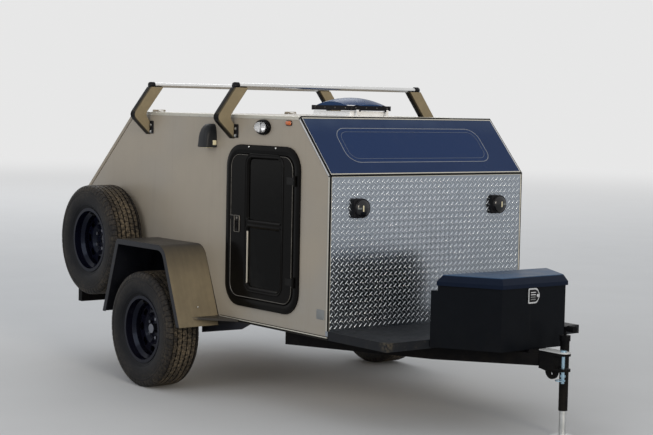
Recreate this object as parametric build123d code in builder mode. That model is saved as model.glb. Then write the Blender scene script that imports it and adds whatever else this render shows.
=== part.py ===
from build123d import *
from math import atan2, cos, hypot, sin, sqrt
import os

os.makedirs("parts", exist_ok=True)

# Sizes are millimetres. X runs forward, Y to the left, Z up from the ground.
# Stations along X are distances from the cabin's front face, plus forward.
# Offsets across Y are distances from the middle of the trailer.

# Cabin
cabin_width = 1524
cabin_length = 2946
cabin_height = 1282
floor_height = 485
front_knee = 951
front_slope_run = 303
rear_knee = 631
rear_slope_run = 750
panel = 22
side_wall = 25
moving_gap = 5
hatch_foot = 190

# Frame
tube_width = 50
frame_tube = 75
floor_board = 18
tongue_tube = 92
tongue_rear = -495
tongue_rear_half = 700
tongue_nose = 985
tongue_nose_half = 41
tongue_rise = 25
tongue_taper = 400
box_bar = 10
box_setback = 85
box_long = 363
box_deck_gap = 7

# Wheels
tyre_diameter = 746
tyre_width = 240
axle_station = -1589
wheel_offset = 953
bead_radius = 203
rim_flange = 219
stud_circle = 127
stud_count = 5

# Reach of the whole trailer past the cabin
handle_reach = 38
coupler_length = 193
coupler_reach = tongue_nose + coupler_length

half_width = cabin_width / 2
wall_inner = half_width - side_wall
cabin_front = (cabin_length + handle_reach - coupler_reach) / 2
roof_height = floor_height + cabin_height
frame_top = floor_height + frame_tube
floor_top = frame_top + floor_board
tyre_radius = tyre_diameter / 2
axle_x = cabin_front + axle_station


def station(distance):
    return cabin_front + distance


def save(solid, name):
    solid.label = name
    export_step(solid, f"parts/{name}.step")


def save_pair(solid, name):
    """Save a right-hand piece and its mirror image on the left."""
    save(solid, f"{name}_right")
    save(solid.mirror(Plane.XZ), f"{name}_left")


def rounded_loop(corners, radii):
    """Closed outline in the open BuildLine, with an arc of its own radius at each corner."""
    count = len(corners)
    arcs = []
    for index, radius in enumerate(radii):
        x0, z0 = corners[index - 1]
        x1, z1 = corners[index]
        x2, z2 = corners[(index + 1) % count]
        before = hypot(x1 - x0, z1 - z0)
        after = hypot(x2 - x1, z2 - z1)
        ux, uz = (x1 - x0) / before, (z1 - z0) / before
        vx, vz = (x2 - x1) / after, (z2 - z1) / after
        half_turn = atan2(ux * vz - uz * vx, ux * vx + uz * vz) / 2
        reach = radius * sin(half_turn) / cos(half_turn)
        inward = hypot(vx - ux, vz - uz)
        middle = radius / cos(half_turn) - radius
        start = (x1 - ux * reach, z1 - uz * reach)
        crown = (x1 + (vx - ux) / inward * middle, z1 + (vz - uz) / inward * middle)
        arcs.append((start, crown, (x1 + vx * reach, z1 + vz * reach)))
    for index in range(count):
        start, crown, end = arcs[index]
        if radii[index] > 0:
            ThreePointArc(start, crown, end)
        Line(end, arcs[(index + 1) % count][0])


def inset(points, depths):
    """Move every edge of a closed outline inward by its own depth."""
    count = len(points)
    lines = []
    for index, depth in enumerate(depths):
        x0, z0 = points[index]
        x1, z1 = points[(index + 1) % count]
        length = hypot(x1 - x0, z1 - z0)
        ux = (x1 - x0) / length
        uz = (z1 - z0) / length
        lines.append((x0 - uz * depth, z0 + ux * depth, ux, uz))
    moved = []
    for index in range(count):
        xa, za, uxa, uza = lines[index - 1]
        xb, zb, uxb, uzb = lines[index]
        cross = uxa * uzb - uza * uxb
        along = ((xb - xa) * uzb - (zb - za) * uxb) / cross
        moved.append((xa + uxa * along, za + uza * along))
    return moved


# The cabin's outline, anticlockwise seen from the right-hand side
foot_front = (station(0), floor_height)
knee_front = (station(0), floor_height + front_knee)
roof_front = (station(-front_slope_run), roof_height)
roof_rear = (station(rear_slope_run - cabin_length), roof_height)
knee_rear = (station(-cabin_length), floor_height + rear_knee)
foot_rear = (station(-cabin_length), floor_height)
outline = [foot_front, knee_front, roof_front, roof_rear, knee_rear, foot_rear]
skin = inset(outline, [panel, panel, panel, panel, panel, 0])
wall = inset(outline, [panel, panel, panel, panel + moving_gap, panel + moving_gap, 0])
hatch_foot_height = floor_height + hatch_foot

# Chassis frame: a closed ring of tube with two cross tubes under the floor
frame_front = station(-panel)
frame_rear = station(panel - cabin_length)
frame_length = frame_front - frame_rear
frame_middle = (frame_front + frame_rear) / 2
cross_stations = (-1000, -2000)

with BuildPart() as chassis_frame:
    with BuildSketch(Plane.XY.offset(floor_height)):
        with Locations((frame_middle, 0)):
            Rectangle(frame_length, 2 * wall_inner)
            Rectangle(frame_length - 2 * tube_width, 2 * (wall_inner - tube_width), mode=Mode.SUBTRACT)
        for place in cross_stations:
            with Locations((station(place), 0)):
                Rectangle(tube_width, 2 * wall_inner)
    extrude(amount=frame_tube)
save(chassis_frame.part, "chassis_frame")

# Tongue: two tubes that run in from under the cabin and meet at the nose,
# cut along their undersides so that they grow shallower towards it
tongue_run = tongue_nose - tongue_rear
tongue_slope = (tongue_rear_half - tongue_nose_half) / tongue_run
tongue_angle = atan2(tongue_rear_half - tongue_nose_half, tongue_run)
tongue_bottom = floor_height - tongue_tube
box_floor_height = floor_height + box_bar


def rail_outer(distance):
    """Distance of the tongue's outer face from the middle at one station."""
    return tongue_rear_half - tongue_slope * (distance - tongue_rear)


end_x = tube_width * sin(tongue_angle)
end_y = tube_width * cos(tongue_angle)
rail_band = tube_width / cos(tongue_angle)
box_front = tongue_nose - box_setback
box_rear = box_front - box_long
box_bar_width = 60
box_bar_rear_inset = 63
box_bar_front_inset = 50
box_bar_stations = (box_rear + box_bar_rear_inset, box_front - box_bar_front_inset)

with BuildPart() as tongue_frame:
    with BuildSketch(Plane.XY.offset(tongue_bottom)):
        for side in (-1, 1):
            with BuildLine():
                Polyline(
                    (station(tongue_rear), side * tongue_rear_half),
                    (station(tongue_nose), side * tongue_nose_half),
                    (station(tongue_nose), side * (tongue_nose_half - rail_band)),
                    (station(tongue_rear) - end_x, side * (tongue_rear_half - end_y)),
                    close=True,
                )
            make_face()
    extrude(amount=tongue_tube)
    with BuildSketch(Plane.XZ):
        with BuildLine():
            Polyline(
                (station(tongue_taper), tongue_bottom),
                (station(tongue_nose), tongue_bottom),
                (station(tongue_nose), tongue_bottom + tongue_rise),
                close=True,
            )
        make_face()
    extrude(amount=half_width, both=True, mode=Mode.SUBTRACT)
    with BuildSketch(Plane.XY.offset(floor_height)):
        for place in box_bar_stations:
            with Locations((station(place), 0)):
                Rectangle(box_bar_width, 2 * rail_outer(place))
    extrude(amount=box_bar)
save(tongue_frame.part, "tongue_frame")

# Front deck: a shallow tray that fills the width ahead of the cabin
deck_reach = box_rear - box_deck_gap
deck_depth = 51
deck_height = floor_height + deck_depth
deck_sheet = 5
deck_bearer = 40
deck_bearer_stations = (140, 400)
deck_hole = 5.5
deck_hole_x = 300
deck_hole_y = 1300
deck_middle = station(deck_reach / 2)

with BuildPart() as front_deck:
    with BuildSketch(Plane.XY.offset(deck_height - deck_sheet)):
        with Locations((deck_middle, 0)):
            Rectangle(deck_reach, cabin_width)
        with Locations((deck_middle, 0)):
            with GridLocations(deck_hole_x, deck_hole_y, 2, 2):
                Circle(deck_hole, mode=Mode.SUBTRACT)
    extrude(amount=deck_sheet)
    with BuildSketch(Plane.XY.offset(floor_height)):
        with Locations((deck_middle, 0)):
            Rectangle(deck_reach, cabin_width)
        with Locations((deck_middle - deck_sheet, 0)):
            Rectangle(deck_reach, cabin_width - 2 * deck_sheet, mode=Mode.SUBTRACT)
        for place in deck_bearer_stations:
            with Locations((station(place), 0)):
                Rectangle(deck_bearer, 2 * rail_outer(place))
    extrude(amount=deck_depth - deck_sheet)
save(front_deck.part, "front_deck")

# Coupler: a forged block with a fork that holds an upright pin
coupler_half = 38
coupler_low = 405
coupler_high = 505
coupler_tail = 55
coupler_block = 115
fork_ear = 14
pin_setback = 43
pin_radius = 9.5
pin_play = 0.1
lug_radius = 45
lug_half = 8
lug_reach = 68
lug_height = 395
lug_hole = 11
tail_half = 62
plate_sheet = 6
coupler_rear = tongue_nose - coupler_tail
coupler_block_front = tongue_nose + coupler_block
nose_start = coupler_reach - coupler_half
pin_station = coupler_reach - pin_setback
lug_station = tongue_nose + lug_reach


def nose_outline(start):
    """Outline seen from above: straight sides from start, then a round nose."""
    Line((station(start), coupler_half), (station(nose_start), coupler_half))
    ThreePointArc(
        (station(nose_start), coupler_half),
        (station(coupler_reach), 0),
        (station(nose_start), -coupler_half),
    )
    Line((station(nose_start), -coupler_half), (station(start), -coupler_half))
    Line((station(start), -coupler_half), (station(start), coupler_half))


with BuildPart() as coupler:
    with BuildSketch(Plane.XY.offset(coupler_low)):
        with BuildLine():
            Polyline(
                (station(tongue_nose), -coupler_half),
                (station(coupler_block_front), -coupler_half),
                (station(coupler_block_front), coupler_half),
                (station(tongue_nose), coupler_half),
                close=True,
            )
        make_face()
    extrude(amount=coupler_high - coupler_low)
    with BuildSketch(Plane.XY.offset(floor_height)):
        with BuildLine():
            Polyline(
                (station(coupler_rear), -tail_half),
                (station(tongue_nose), -coupler_half),
                (station(tongue_nose), coupler_half),
                (station(coupler_rear), tail_half),
                close=True,
            )
        make_face()
    extrude(amount=coupler_high - floor_height)
    for base in (coupler_low, coupler_high - fork_ear):
        with BuildSketch(Plane.XY.offset(base)):
            with BuildLine():
                nose_outline(coupler_block_front)
            make_face()
            with Locations((station(pin_station), 0)):
                Circle(pin_radius + pin_play, mode=Mode.SUBTRACT)
        extrude(amount=fork_ear)
    with BuildSketch(Plane.XZ):
        with Locations((station(lug_station), lug_height)):
            Circle(lug_radius)
        with Locations((station(lug_station), lug_height - lug_radius / 3)):
            Circle(lug_hole, mode=Mode.SUBTRACT)
        with Locations((station(lug_station), coupler_high)):
            Rectangle(3 * lug_radius, 2 * (coupler_high - coupler_low), mode=Mode.SUBTRACT)
    extrude(amount=lug_half, both=True)
save(coupler.part, "coupler")

# Nose plate: the bright plate on top of the coupler
with BuildPart() as nose_plate:
    with BuildSketch(Plane.XY.offset(coupler_high)):
        with BuildLine():
            nose_outline(tongue_nose)
        make_face()
        with Locations((station(pin_station), 0)):
            Circle(pin_radius + pin_play, mode=Mode.SUBTRACT)
    extrude(amount=plate_sheet)
save(nose_plate.part, "nose_plate")

# Hitch pin: a plated pin with a head above the plate and a collar below the fork
pin_tail = 69
pin_head_radius = 17
pin_head = 9
collar_radius = 15
collar_drop = 33
collar = 12
pin_low = coupler_low - pin_tail
pin_seat = coupler_high + plate_sheet

with BuildPart() as hitch_pin:
    with BuildSketch(Plane.XY.offset(pin_low)):
        with Locations((station(pin_station), 0)):
            Circle(pin_radius)
    extrude(amount=pin_seat - pin_low)
    with BuildSketch(Plane.XY.offset(pin_seat)):
        with Locations((station(pin_station), 0)):
            Circle(pin_head_radius)
    extrude(amount=pin_head)
    with BuildSketch(Plane.XY.offset(coupler_low - collar_drop)):
        with Locations((station(pin_station), 0)):
            Circle(collar_radius)
    extrude(amount=collar)
save(hitch_pin.part, "hitch_pin")

# Rear bumper: a tube across the back, with a square receiver in the middle
bumper_depth = 50
bumper_tall = 92
receiver_outer = 64
receiver_inner = 51
receiver_length = 160
bumper_front = station(bumper_depth - cabin_length)
receiver_height = floor_height - bumper_tall / 2

with BuildPart() as rear_bumper:
    with BuildSketch(Plane.XY.offset(floor_height - bumper_tall)):
        with Locations((bumper_front - bumper_depth / 2, 0)):
            Rectangle(bumper_depth, cabin_width)
    extrude(amount=bumper_tall)
    with BuildSketch(Plane.YZ.offset(station(-cabin_length))):
        with Locations((0, receiver_height)):
            Rectangle(receiver_outer, receiver_outer)
    extrude(amount=receiver_length)
    with BuildSketch(Plane.YZ.offset(station(-cabin_length))):
        with Locations((0, receiver_height)):
            Rectangle(receiver_inner, receiver_inner)
    extrude(amount=receiver_length, mode=Mode.SUBTRACT)
save(rear_bumper.part, "rear_bumper")

# Axle: a square tube under the frame with a trailing arm and spindle each side
axle_tube = 60
arm_length = 150
arm_inner = 768
arm_outer = 798
arm_radius = 38
spindle_radius = 17
spindle_play = 0.1
hub_face = 935
axle_tube_height = floor_height - axle_tube / 2
arm_drop = axle_tube_height - tyre_radius
arm_run = sqrt(arm_length**2 - arm_drop**2)
tube_x = axle_x + arm_run

with BuildPart() as axle:
    with BuildSketch(Plane.XZ):
        with Locations((tube_x, axle_tube_height)):
            Rectangle(axle_tube, axle_tube)
    extrude(amount=arm_inner, both=True)
    for side in (-1, 1):
        face = -side * (arm_inner if side < 0 else arm_outer)
        with BuildSketch(Plane.XZ.offset(face)):
            with BuildLine():
                tangent_x = arm_radius * arm_drop / arm_length
                tangent_z = arm_radius * arm_run / arm_length
                Polyline(
                    (tube_x - tangent_x, axle_tube_height + tangent_z),
                    (axle_x - tangent_x, tyre_radius + tangent_z),
                    (axle_x + tangent_x, tyre_radius - tangent_z),
                    (tube_x + tangent_x, axle_tube_height - tangent_z),
                    close=True,
                )
            make_face()
            with Locations((tube_x, axle_tube_height), (axle_x, tyre_radius)):
                Circle(arm_radius)
        extrude(amount=arm_outer - arm_inner)
    with BuildSketch(Plane.XZ):
        with Locations((axle_x, tyre_radius)):
            Circle(spindle_radius)
    extrude(amount=hub_face, both=True)
    with BuildSketch(Plane.XZ):
        with Locations((axle_x, tyre_radius)):
            Circle(2 * spindle_radius)
    extrude(amount=arm_inner, both=True, mode=Mode.SUBTRACT)
save(axle.part, "axle")

# Hub: brake drum, wheel flange, studs with nuts, and a domed grease cap
drum_inner_face = 806
drum_outer_face = 866
drum_radius = 127
flange_radius = 82
cap_radius = 30
cap_reach = 978
stud_radius = 6
nut_radius = 11
disc_sheet = 6
nut_height = 18
nut_face = hub_face + disc_sheet

with BuildPart() as hub:
    with BuildSketch(Plane.XZ.offset(drum_inner_face)):
        with Locations((axle_x, tyre_radius)):
            Circle(drum_radius)
            Circle(spindle_radius + spindle_play, mode=Mode.SUBTRACT)
    extrude(amount=drum_outer_face - drum_inner_face)
    with BuildSketch(Plane.XZ.offset(drum_outer_face)):
        with Locations((axle_x, tyre_radius)):
            Circle(flange_radius)
            Circle(spindle_radius + spindle_play, mode=Mode.SUBTRACT)
    extrude(amount=hub_face - drum_outer_face)
    with BuildSketch(Plane.XZ.offset(hub_face + spindle_play)):
        with Locations((axle_x, tyre_radius)):
            Circle(cap_radius)
    extrude(amount=cap_reach - hub_face - spindle_play)
    with BuildSketch(Plane.XZ.offset(drum_outer_face)):
        with Locations((axle_x, tyre_radius)):
            Circle(cap_radius)
            Circle(spindle_radius + spindle_play, mode=Mode.SUBTRACT)
    extrude(amount=hub_face + spindle_play - drum_outer_face)
    with BuildSketch(Plane.XZ.offset(hub_face)):
        with Locations((axle_x, tyre_radius)):
            with PolarLocations(stud_circle / 2, stud_count):
                Circle(stud_radius)
    extrude(amount=disc_sheet + nut_height)
    with BuildSketch(Plane.XZ.offset(nut_face)):
        with Locations((axle_x, tyre_radius)):
            with PolarLocations(stud_circle / 2, stud_count):
                RegularPolygon(nut_radius, 6)
    extrude(amount=nut_height)
save_pair(hub.part, "hub")

# Tyre and rim outlines: (distance outboard of the wheel's middle, radius)
tyre_half = tyre_width / 2
tread_half = 96
shoulder_half = 108
shoulder_drop = 10
buttress_drop = 32
buttress_inset = 5
upper_wall = 70
lower_wall = 62
rim_half = 91
bead_play = 1
wall_foot = 3
tyre_section = [
    (-rim_half, bead_radius + bead_play),
    (-rim_half, rim_flange + wall_foot),
    (-tyre_half, bead_radius + lower_wall),
    (-tyre_half, tyre_radius - upper_wall),
    (buttress_inset - tyre_half, tyre_radius - buttress_drop),
    (-shoulder_half, tyre_radius - shoulder_drop),
    (-tread_half, tyre_radius),
    (tread_half, tyre_radius),
    (shoulder_half, tyre_radius - shoulder_drop),
    (tyre_half - buttress_inset, tyre_radius - buttress_drop),
    (tyre_half, tyre_radius - upper_wall),
    (tyre_half, bead_radius + lower_wall),
    (rim_half, rim_flange + wall_foot),
    (rim_half, bead_radius + bead_play),
]
rim_sheet = 6
flange_out = 97
flange_round = 2
drop_radius = 182
drop_half = 30
drop_slope = 20
slot_count = 8
slot_circle = 135
slot_tall = 38
slot_wide = 52
slot_round = 13
disc_bowl = 158
disc_bore = cap_radius + 1
dish = 22
dish_rim = 6
hat_slope = 18
hat_edge = flange_radius + 6
disc_place = hub_face - wheel_offset
rim_section = [
    (-flange_out, rim_flange - flange_round),
    (-flange_out, bead_radius - rim_sheet),
    (-drop_half - drop_slope, bead_radius - rim_sheet),
    (-drop_half, drop_radius - rim_sheet),
    (drop_half, drop_radius - rim_sheet),
    (drop_half + drop_slope, bead_radius - rim_sheet),
    (flange_out, bead_radius - rim_sheet),
    (flange_out, rim_flange - flange_round),
    (rim_half + bead_play, rim_flange - flange_round),
    (rim_half + bead_play, bead_radius),
    (drop_half + drop_slope, bead_radius),
    (drop_half, drop_radius),
    (-drop_half, drop_radius),
    (-drop_half - drop_slope, bead_radius),
    (-rim_half - bead_play, bead_radius),
    (-rim_half - bead_play, rim_flange - flange_round),
]
disc_section = [
    (disc_place, disc_bore),
    (disc_place, hat_edge),
    (disc_place + dish, hat_edge + hat_slope),
    (disc_place + dish, disc_bowl),
    (disc_place + dish_rim, drop_radius - rim_sheet / 2),
    (disc_place + dish_rim + disc_sheet, drop_radius - rim_sheet / 2),
    (disc_place + dish + disc_sheet, disc_bowl + disc_sheet / 2),
    (disc_place + dish + disc_sheet, hat_edge + hat_slope - disc_sheet / 3),
    (disc_place + disc_sheet, hat_edge - disc_sheet / 2),
    (disc_place + disc_sheet, disc_bore),
]


def wheel_plane(x, z):
    """Plane whose local x points outboard on the right and local y points up."""
    return Plane(origin=(x, 0, z), x_dir=(0, -1, 0), z_dir=(-1, 0, 0))


def wheel_axis(x, z):
    return Axis((x, 0, z), (0, -1, 0))


def outboard(section, offset):
    return [(place + offset, radius) for place, radius in section]


def build_tyre(x, z, offset):
    with BuildPart() as tyre:
        with BuildSketch(wheel_plane(x, z)):
            with BuildLine():
                Polyline(*outboard(tyre_section, offset), close=True)
            make_face()
        revolve(axis=wheel_axis(x, z))
    return tyre.part


def build_rim(x, z, offset):
    with BuildPart() as rim:
        with BuildSketch(wheel_plane(x, z)):
            with BuildLine():
                Polyline(*outboard(rim_section, offset), close=True)
            make_face()
            with BuildLine():
                Polyline(*outboard(disc_section, offset), close=True)
            make_face()
        revolve(axis=wheel_axis(x, z))
        with BuildSketch(Plane.XZ.offset(offset + disc_place - rim_sheet)):
            with Locations((x, z)):
                with PolarLocations(slot_circle, slot_count):
                    RectangleRounded(slot_tall, slot_wide, slot_round)
                with PolarLocations(stud_circle / 2, stud_count):
                    Circle(stud_radius + 1)
        extrude(amount=2 * rim_half - drop_half, mode=Mode.SUBTRACT)
    return rim.part


save_pair(build_tyre(axle_x, tyre_radius, wheel_offset), "tyre")
save_pair(build_rim(axle_x, tyre_radius, wheel_offset), "rim")

# Spare wheel on the right-hand wall behind the fender
spare_station = -2360
spare_height = 889
spare_offset = 913
spare_x = station(spare_station)
carrier_plate = 190
carrier_sheet = 8
carrier_tube = 45
spare_disc = spare_offset + disc_place

save(build_tyre(spare_x, spare_height, spare_offset), "spare_tyre")
save(build_rim(spare_x, spare_height, spare_offset), "spare_rim")

with BuildPart() as spare_carrier:
    with BuildSketch(Plane.XZ.offset(half_width)):
        with Locations((spare_x, spare_height)):
            RectangleRounded(carrier_plate, carrier_plate, 2 * carrier_sheet)
    extrude(amount=carrier_sheet)
    with BuildSketch(Plane.XZ.offset(half_width)):
        with Locations((spare_x, spare_height)):
            Circle(carrier_tube)
    extrude(amount=spare_disc - carrier_sheet - half_width)
    with BuildSketch(Plane.XZ.offset(spare_disc - carrier_sheet)):
        with Locations((spare_x, spare_height)):
            Circle(flange_radius)
    extrude(amount=carrier_sheet)
    with BuildSketch(Plane.XZ.offset(spare_disc)):
        with Locations((spare_x, spare_height)):
            with PolarLocations(stud_circle / 2, stud_count):
                Circle(stud_radius)
    extrude(amount=disc_sheet + nut_height)
    with BuildSketch(Plane.XZ.offset(spare_disc + disc_sheet)):
        with Locations((spare_x, spare_height)):
            with PolarLocations(stud_circle / 2, stud_count):
                RegularPolygon(nut_radius, 6)
    extrude(amount=nut_height)
save(spare_carrier.part, "spare_carrier")

# Floor board on the frame
with BuildPart() as floor:
    with BuildSketch(Plane.XY.offset(frame_top)):
        with Locations((frame_middle, 0)):
            Rectangle(frame_length, 2 * wall_inner)
    extrude(amount=floor_board)
save(floor.part, "floor")

# Doors: sizes of the frame's outer ring, from the front edge rearward
door_frame_front = -285
door_frame_width = 760
door_frame_foot = 105
door_frame_tall = 995
door_corner = 140
ring_width = 50
ring_proud = 12
sleeve = 10
door_gap = 5
stop_lip = 20
stop_sheet = 5
door_middle = station(door_frame_front - door_frame_width / 2)
door_centre = floor_height + door_frame_foot + door_frame_tall / 2
clear_width = door_frame_width - 2 * ring_width
clear_tall = door_frame_tall - 2 * ring_width
clear_corner = door_corner - ring_width
ring_face = half_width + ring_proud
sleeve_lip = 13
leaf_setback = 3
leaf_proud = 16
sleeve_inner = wall_inner - sleeve_lip
leaf_inner = wall_inner + leaf_setback
leaf_face = half_width + leaf_proud

# Side walls with the door opening
with BuildPart() as side_panel:
    with BuildSketch(Plane.XZ.offset(wall_inner)):
        with BuildLine():
            Polyline(*wall, close=True)
        make_face()
        with Locations((door_middle, door_centre)):
            RectangleRounded(
                clear_width + 2 * sleeve,
                clear_tall + 2 * sleeve,
                clear_corner + sleeve,
                mode=Mode.SUBTRACT,
            )
    extrude(amount=side_wall)
save_pair(side_panel.part, "side_wall")

# Door frame: outer ring, sleeve through the wall, inner stop and hinge pins
hinge_setback = 20
hinge_standoff = 12
hinge_spread = 300
hinge_axis_x = door_middle + clear_width / 2 + hinge_setback
hinge_axis_out = ring_face + hinge_standoff
hinge_heights = (door_centre - hinge_spread, door_centre + hinge_spread)
knuckle_radius = 8
hinge_pin = 4
hinge_play = 0.08
knuckle_half = 22
hinge_lug = 10

with BuildPart() as door_frame:
    with BuildSketch(Plane.XZ.offset(half_width)):
        with Locations((door_middle, door_centre)):
            RectangleRounded(door_frame_width, door_frame_tall, door_corner)
            RectangleRounded(clear_width, clear_tall, clear_corner, mode=Mode.SUBTRACT)
    extrude(amount=ring_proud)
    with BuildSketch(Plane.XZ.offset(sleeve_inner)):
        with Locations((door_middle, door_centre)):
            RectangleRounded(clear_width + 2 * sleeve, clear_tall + 2 * sleeve, clear_corner + sleeve)
            RectangleRounded(clear_width, clear_tall, clear_corner, mode=Mode.SUBTRACT)
    extrude(amount=half_width - sleeve_inner)
    with BuildSketch(Plane.XZ.offset(sleeve_inner)):
        with Locations((door_middle, door_centre)):
            RectangleRounded(clear_width + sleeve, clear_tall + sleeve, clear_corner)
            RectangleRounded(
                clear_width - 2 * stop_lip,
                clear_tall - 2 * stop_lip,
                clear_corner - stop_lip,
                mode=Mode.SUBTRACT,
            )
    extrude(amount=stop_sheet)
    for height in hinge_heights:
        with BuildSketch(Plane.XY.offset(height - knuckle_half - hinge_lug)):
            with Locations((hinge_axis_x, -hinge_axis_out)):
                Circle(hinge_pin)
        extrude(amount=2 * (knuckle_half + hinge_lug))
        for low in (height - knuckle_half - hinge_lug, height + knuckle_half):
            with BuildSketch(Plane.XY.offset(low)):
                with Locations((hinge_axis_x, -hinge_axis_out)):
                    Circle(knuckle_radius)
                with Locations((hinge_axis_x, -ring_face)):
                    Rectangle(2 * knuckle_radius, 2 * knuckle_radius)
            extrude(amount=hinge_lug)
save_pair(door_frame.part, "door_frame")

# Door leaf: two panes in one tall window, and a strap to each hinge
window_sides = 406
window_ends = 192
window_shift = 30
window_rise = 23
window_bar_drop = 5
window_bar_tall = 34
window_corner = 45
glass_sheet = 5
glass_rest = 8
glass_setback = 10
glass_play = 0.5
leaf_width = clear_width - 2 * door_gap
leaf_tall = clear_tall - 2 * door_gap
leaf_corner = clear_corner - door_gap
window_width = door_frame_width - window_sides
window_tall = door_frame_tall - window_ends
window_middle = door_middle + window_shift
window_centre = door_centre + window_rise
glass_face = leaf_face - glass_setback
strap_sheet = 4
strap_reach = 60
strap_edge = 4
strap_root = 6
knuckle_play = 0.5
leaf_front = door_middle + leaf_width / 2

with BuildPart() as door:
    with BuildSketch(Plane.XZ.offset(leaf_inner)):
        with Locations((door_middle, door_centre)):
            RectangleRounded(leaf_width, leaf_tall, leaf_corner)
        with Locations((window_middle, window_centre)):
            RectangleRounded(window_width, window_tall, window_corner, mode=Mode.SUBTRACT)
        with Locations((window_middle, window_centre - window_bar_drop)):
            Rectangle(window_width, window_bar_tall)
    extrude(amount=leaf_face - leaf_inner)
    with BuildSketch(Plane.XZ.offset(glass_face - glass_sheet - 2 * glass_play)):
        with Locations((window_middle, window_centre)):
            RectangleRounded(
                window_width + 2 * glass_rest,
                window_tall + 2 * glass_rest,
                window_corner + glass_rest,
            )
    extrude(amount=glass_sheet + 2 * glass_play, mode=Mode.SUBTRACT)
    for height in hinge_heights:
        with BuildSketch(Plane.XY.offset(height - knuckle_half + knuckle_play)):
            with Locations((hinge_axis_x, -hinge_axis_out)):
                Circle(knuckle_radius)
                Circle(hinge_pin + hinge_play, mode=Mode.SUBTRACT)
            with BuildLine():
                Polyline(
                    (hinge_axis_x - strap_root, -hinge_axis_out - strap_root),
                    (hinge_axis_x - strap_root, -hinge_axis_out + strap_root / 2),
                    (leaf_front - strap_edge, -leaf_face + 1),
                    (leaf_front - strap_reach, -leaf_face + 1),
                    (leaf_front - strap_reach, -leaf_face - strap_sheet),
                    close=True,
                )
            make_face()
        extrude(amount=2 * (knuckle_half - knuckle_play))
save_pair(door.part, "door")

with BuildPart() as door_glass:
    with BuildSketch(Plane.XZ.offset(glass_face - glass_sheet - glass_play)):
        with Locations((window_middle, window_centre)):
            RectangleRounded(
                window_width + 2 * (glass_rest - glass_play),
                window_tall + 2 * (glass_rest - glass_play),
                window_corner + glass_rest - glass_play,
            )
    extrude(amount=glass_sheet)
save_pair(door_glass.part, "door_glass")


def band(first, second):
    """Corners of one cabin panel between the outline and the skin line."""
    return [outline[first], outline[second], skin[second], skin[first]]


def profile_panel(corners):
    with BuildPart() as slab:
        with BuildSketch(Plane.XZ):
            with BuildLine():
                Polyline(*corners, close=True)
            make_face()
        extrude(amount=half_width, both=True)
    return slab.part


# Front wall, faced with bright tread plate
save(profile_panel(band(0, 1)), "front_wall")

# Front slope with its wide window
slope_length = hypot(front_slope_run, cabin_height - front_knee)
slope_out_x = (cabin_height - front_knee) / slope_length
slope_out_z = front_slope_run / slope_length
slope_plane = Plane(
    origin=(station(0), 0, floor_height + front_knee),
    x_dir=(0, 1, 0),
    z_dir=(slope_out_x, 0, slope_out_z),
)
slope_glass_width = 1132
slope_glass_tall = 262
slope_glass_corner = 70
slope_glass_centre = 230
slope_glass_rest = 14
slope_glass = 5

with BuildPart() as front_slope:
    with BuildSketch(Plane.XZ):
        with BuildLine():
            Polyline(*band(1, 2), close=True)
        make_face()
    extrude(amount=half_width, both=True)
    with BuildSketch(slope_plane):
        with Locations((0, slope_glass_centre)):
            RectangleRounded(
                slope_glass_width - 2 * slope_glass_rest,
                slope_glass_tall - 2 * slope_glass_rest,
                slope_glass_corner - slope_glass_rest,
            )
    extrude(amount=-2 * panel, mode=Mode.SUBTRACT)
    with BuildSketch(slope_plane):
        with Locations((0, slope_glass_centre)):
            RectangleRounded(slope_glass_width, slope_glass_tall, slope_glass_corner)
    extrude(amount=-slope_glass, mode=Mode.SUBTRACT)
save(front_slope.part, "front_slope")

with BuildPart() as front_window:
    with BuildSketch(slope_plane):
        with Locations((0, slope_glass_centre)):
            RectangleRounded(
                slope_glass_width - 2 * glass_play,
                slope_glass_tall - 2 * glass_play,
                slope_glass_corner - glass_play,
            )
    extrude(amount=-slope_glass)
save(front_window.part, "front_window")

# Roof with the vent opening and the hatch's hinge barrels
vent_station = -786
vent_opening = 356
vent_opening_across = 288
hinge_lift = 11
hatch_hinge_radius = 7
hatch_pin = 4
hatch_barrel = 40
hatch_knuckle = 28
hatch_hinge_offsets = (-560, 0, 560)
rear_slope_length = hypot(rear_slope_run, cabin_height - rear_knee)
rear_down_x = -rear_slope_run / rear_slope_length
rear_down_z = -(cabin_height - rear_knee) / rear_slope_length
rear_out_x = rear_down_z
rear_out_z = -rear_down_x
bisect = hypot(rear_out_x, 1 + rear_out_z)
hatch_axis_x = roof_rear[0] + hinge_lift * rear_out_x / bisect
hatch_axis_z = roof_rear[1] + hinge_lift * (1 + rear_out_z) / bisect
leaf_reach = 45
leaf_root = 2
hinge_leaf = 4

with BuildPart() as roof:
    with BuildSketch(Plane.XZ):
        with BuildLine():
            Polyline(*band(2, 3), close=True)
        make_face()
    extrude(amount=half_width, both=True)
    with BuildSketch(Plane.XY.offset(roof_height - 2 * panel)):
        with Locations((station(vent_station), 0)):
            Rectangle(vent_opening, vent_opening_across)
    extrude(amount=3 * panel, mode=Mode.SUBTRACT)
    for offset in hatch_hinge_offsets:
        with BuildSketch(Plane.XZ.offset(-offset)):
            with Locations((hatch_axis_x, hatch_axis_z)):
                Circle(hatch_hinge_radius)
            with BuildLine():
                Polyline(
                    (hatch_axis_x, hatch_axis_z + hatch_hinge_radius - leaf_root / 2),
                    (hatch_axis_x + leaf_root, hatch_axis_z - hatch_hinge_radius + leaf_root / 2),
                    (roof_rear[0] + hinge_leaf, roof_height),
                    (roof_rear[0] + leaf_reach, roof_height),
                    (roof_rear[0] + leaf_reach, roof_height + hinge_leaf),
                    close=True,
                )
            make_face()
        extrude(amount=hatch_barrel / 2, both=True)
        with BuildSketch(Plane.XZ.offset(-offset)):
            with Locations((hatch_axis_x, hatch_axis_z)):
                Circle(hatch_pin)
        extrude(amount=hatch_barrel / 2 + hatch_knuckle, both=True)
save(roof.part, "roof")

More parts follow.
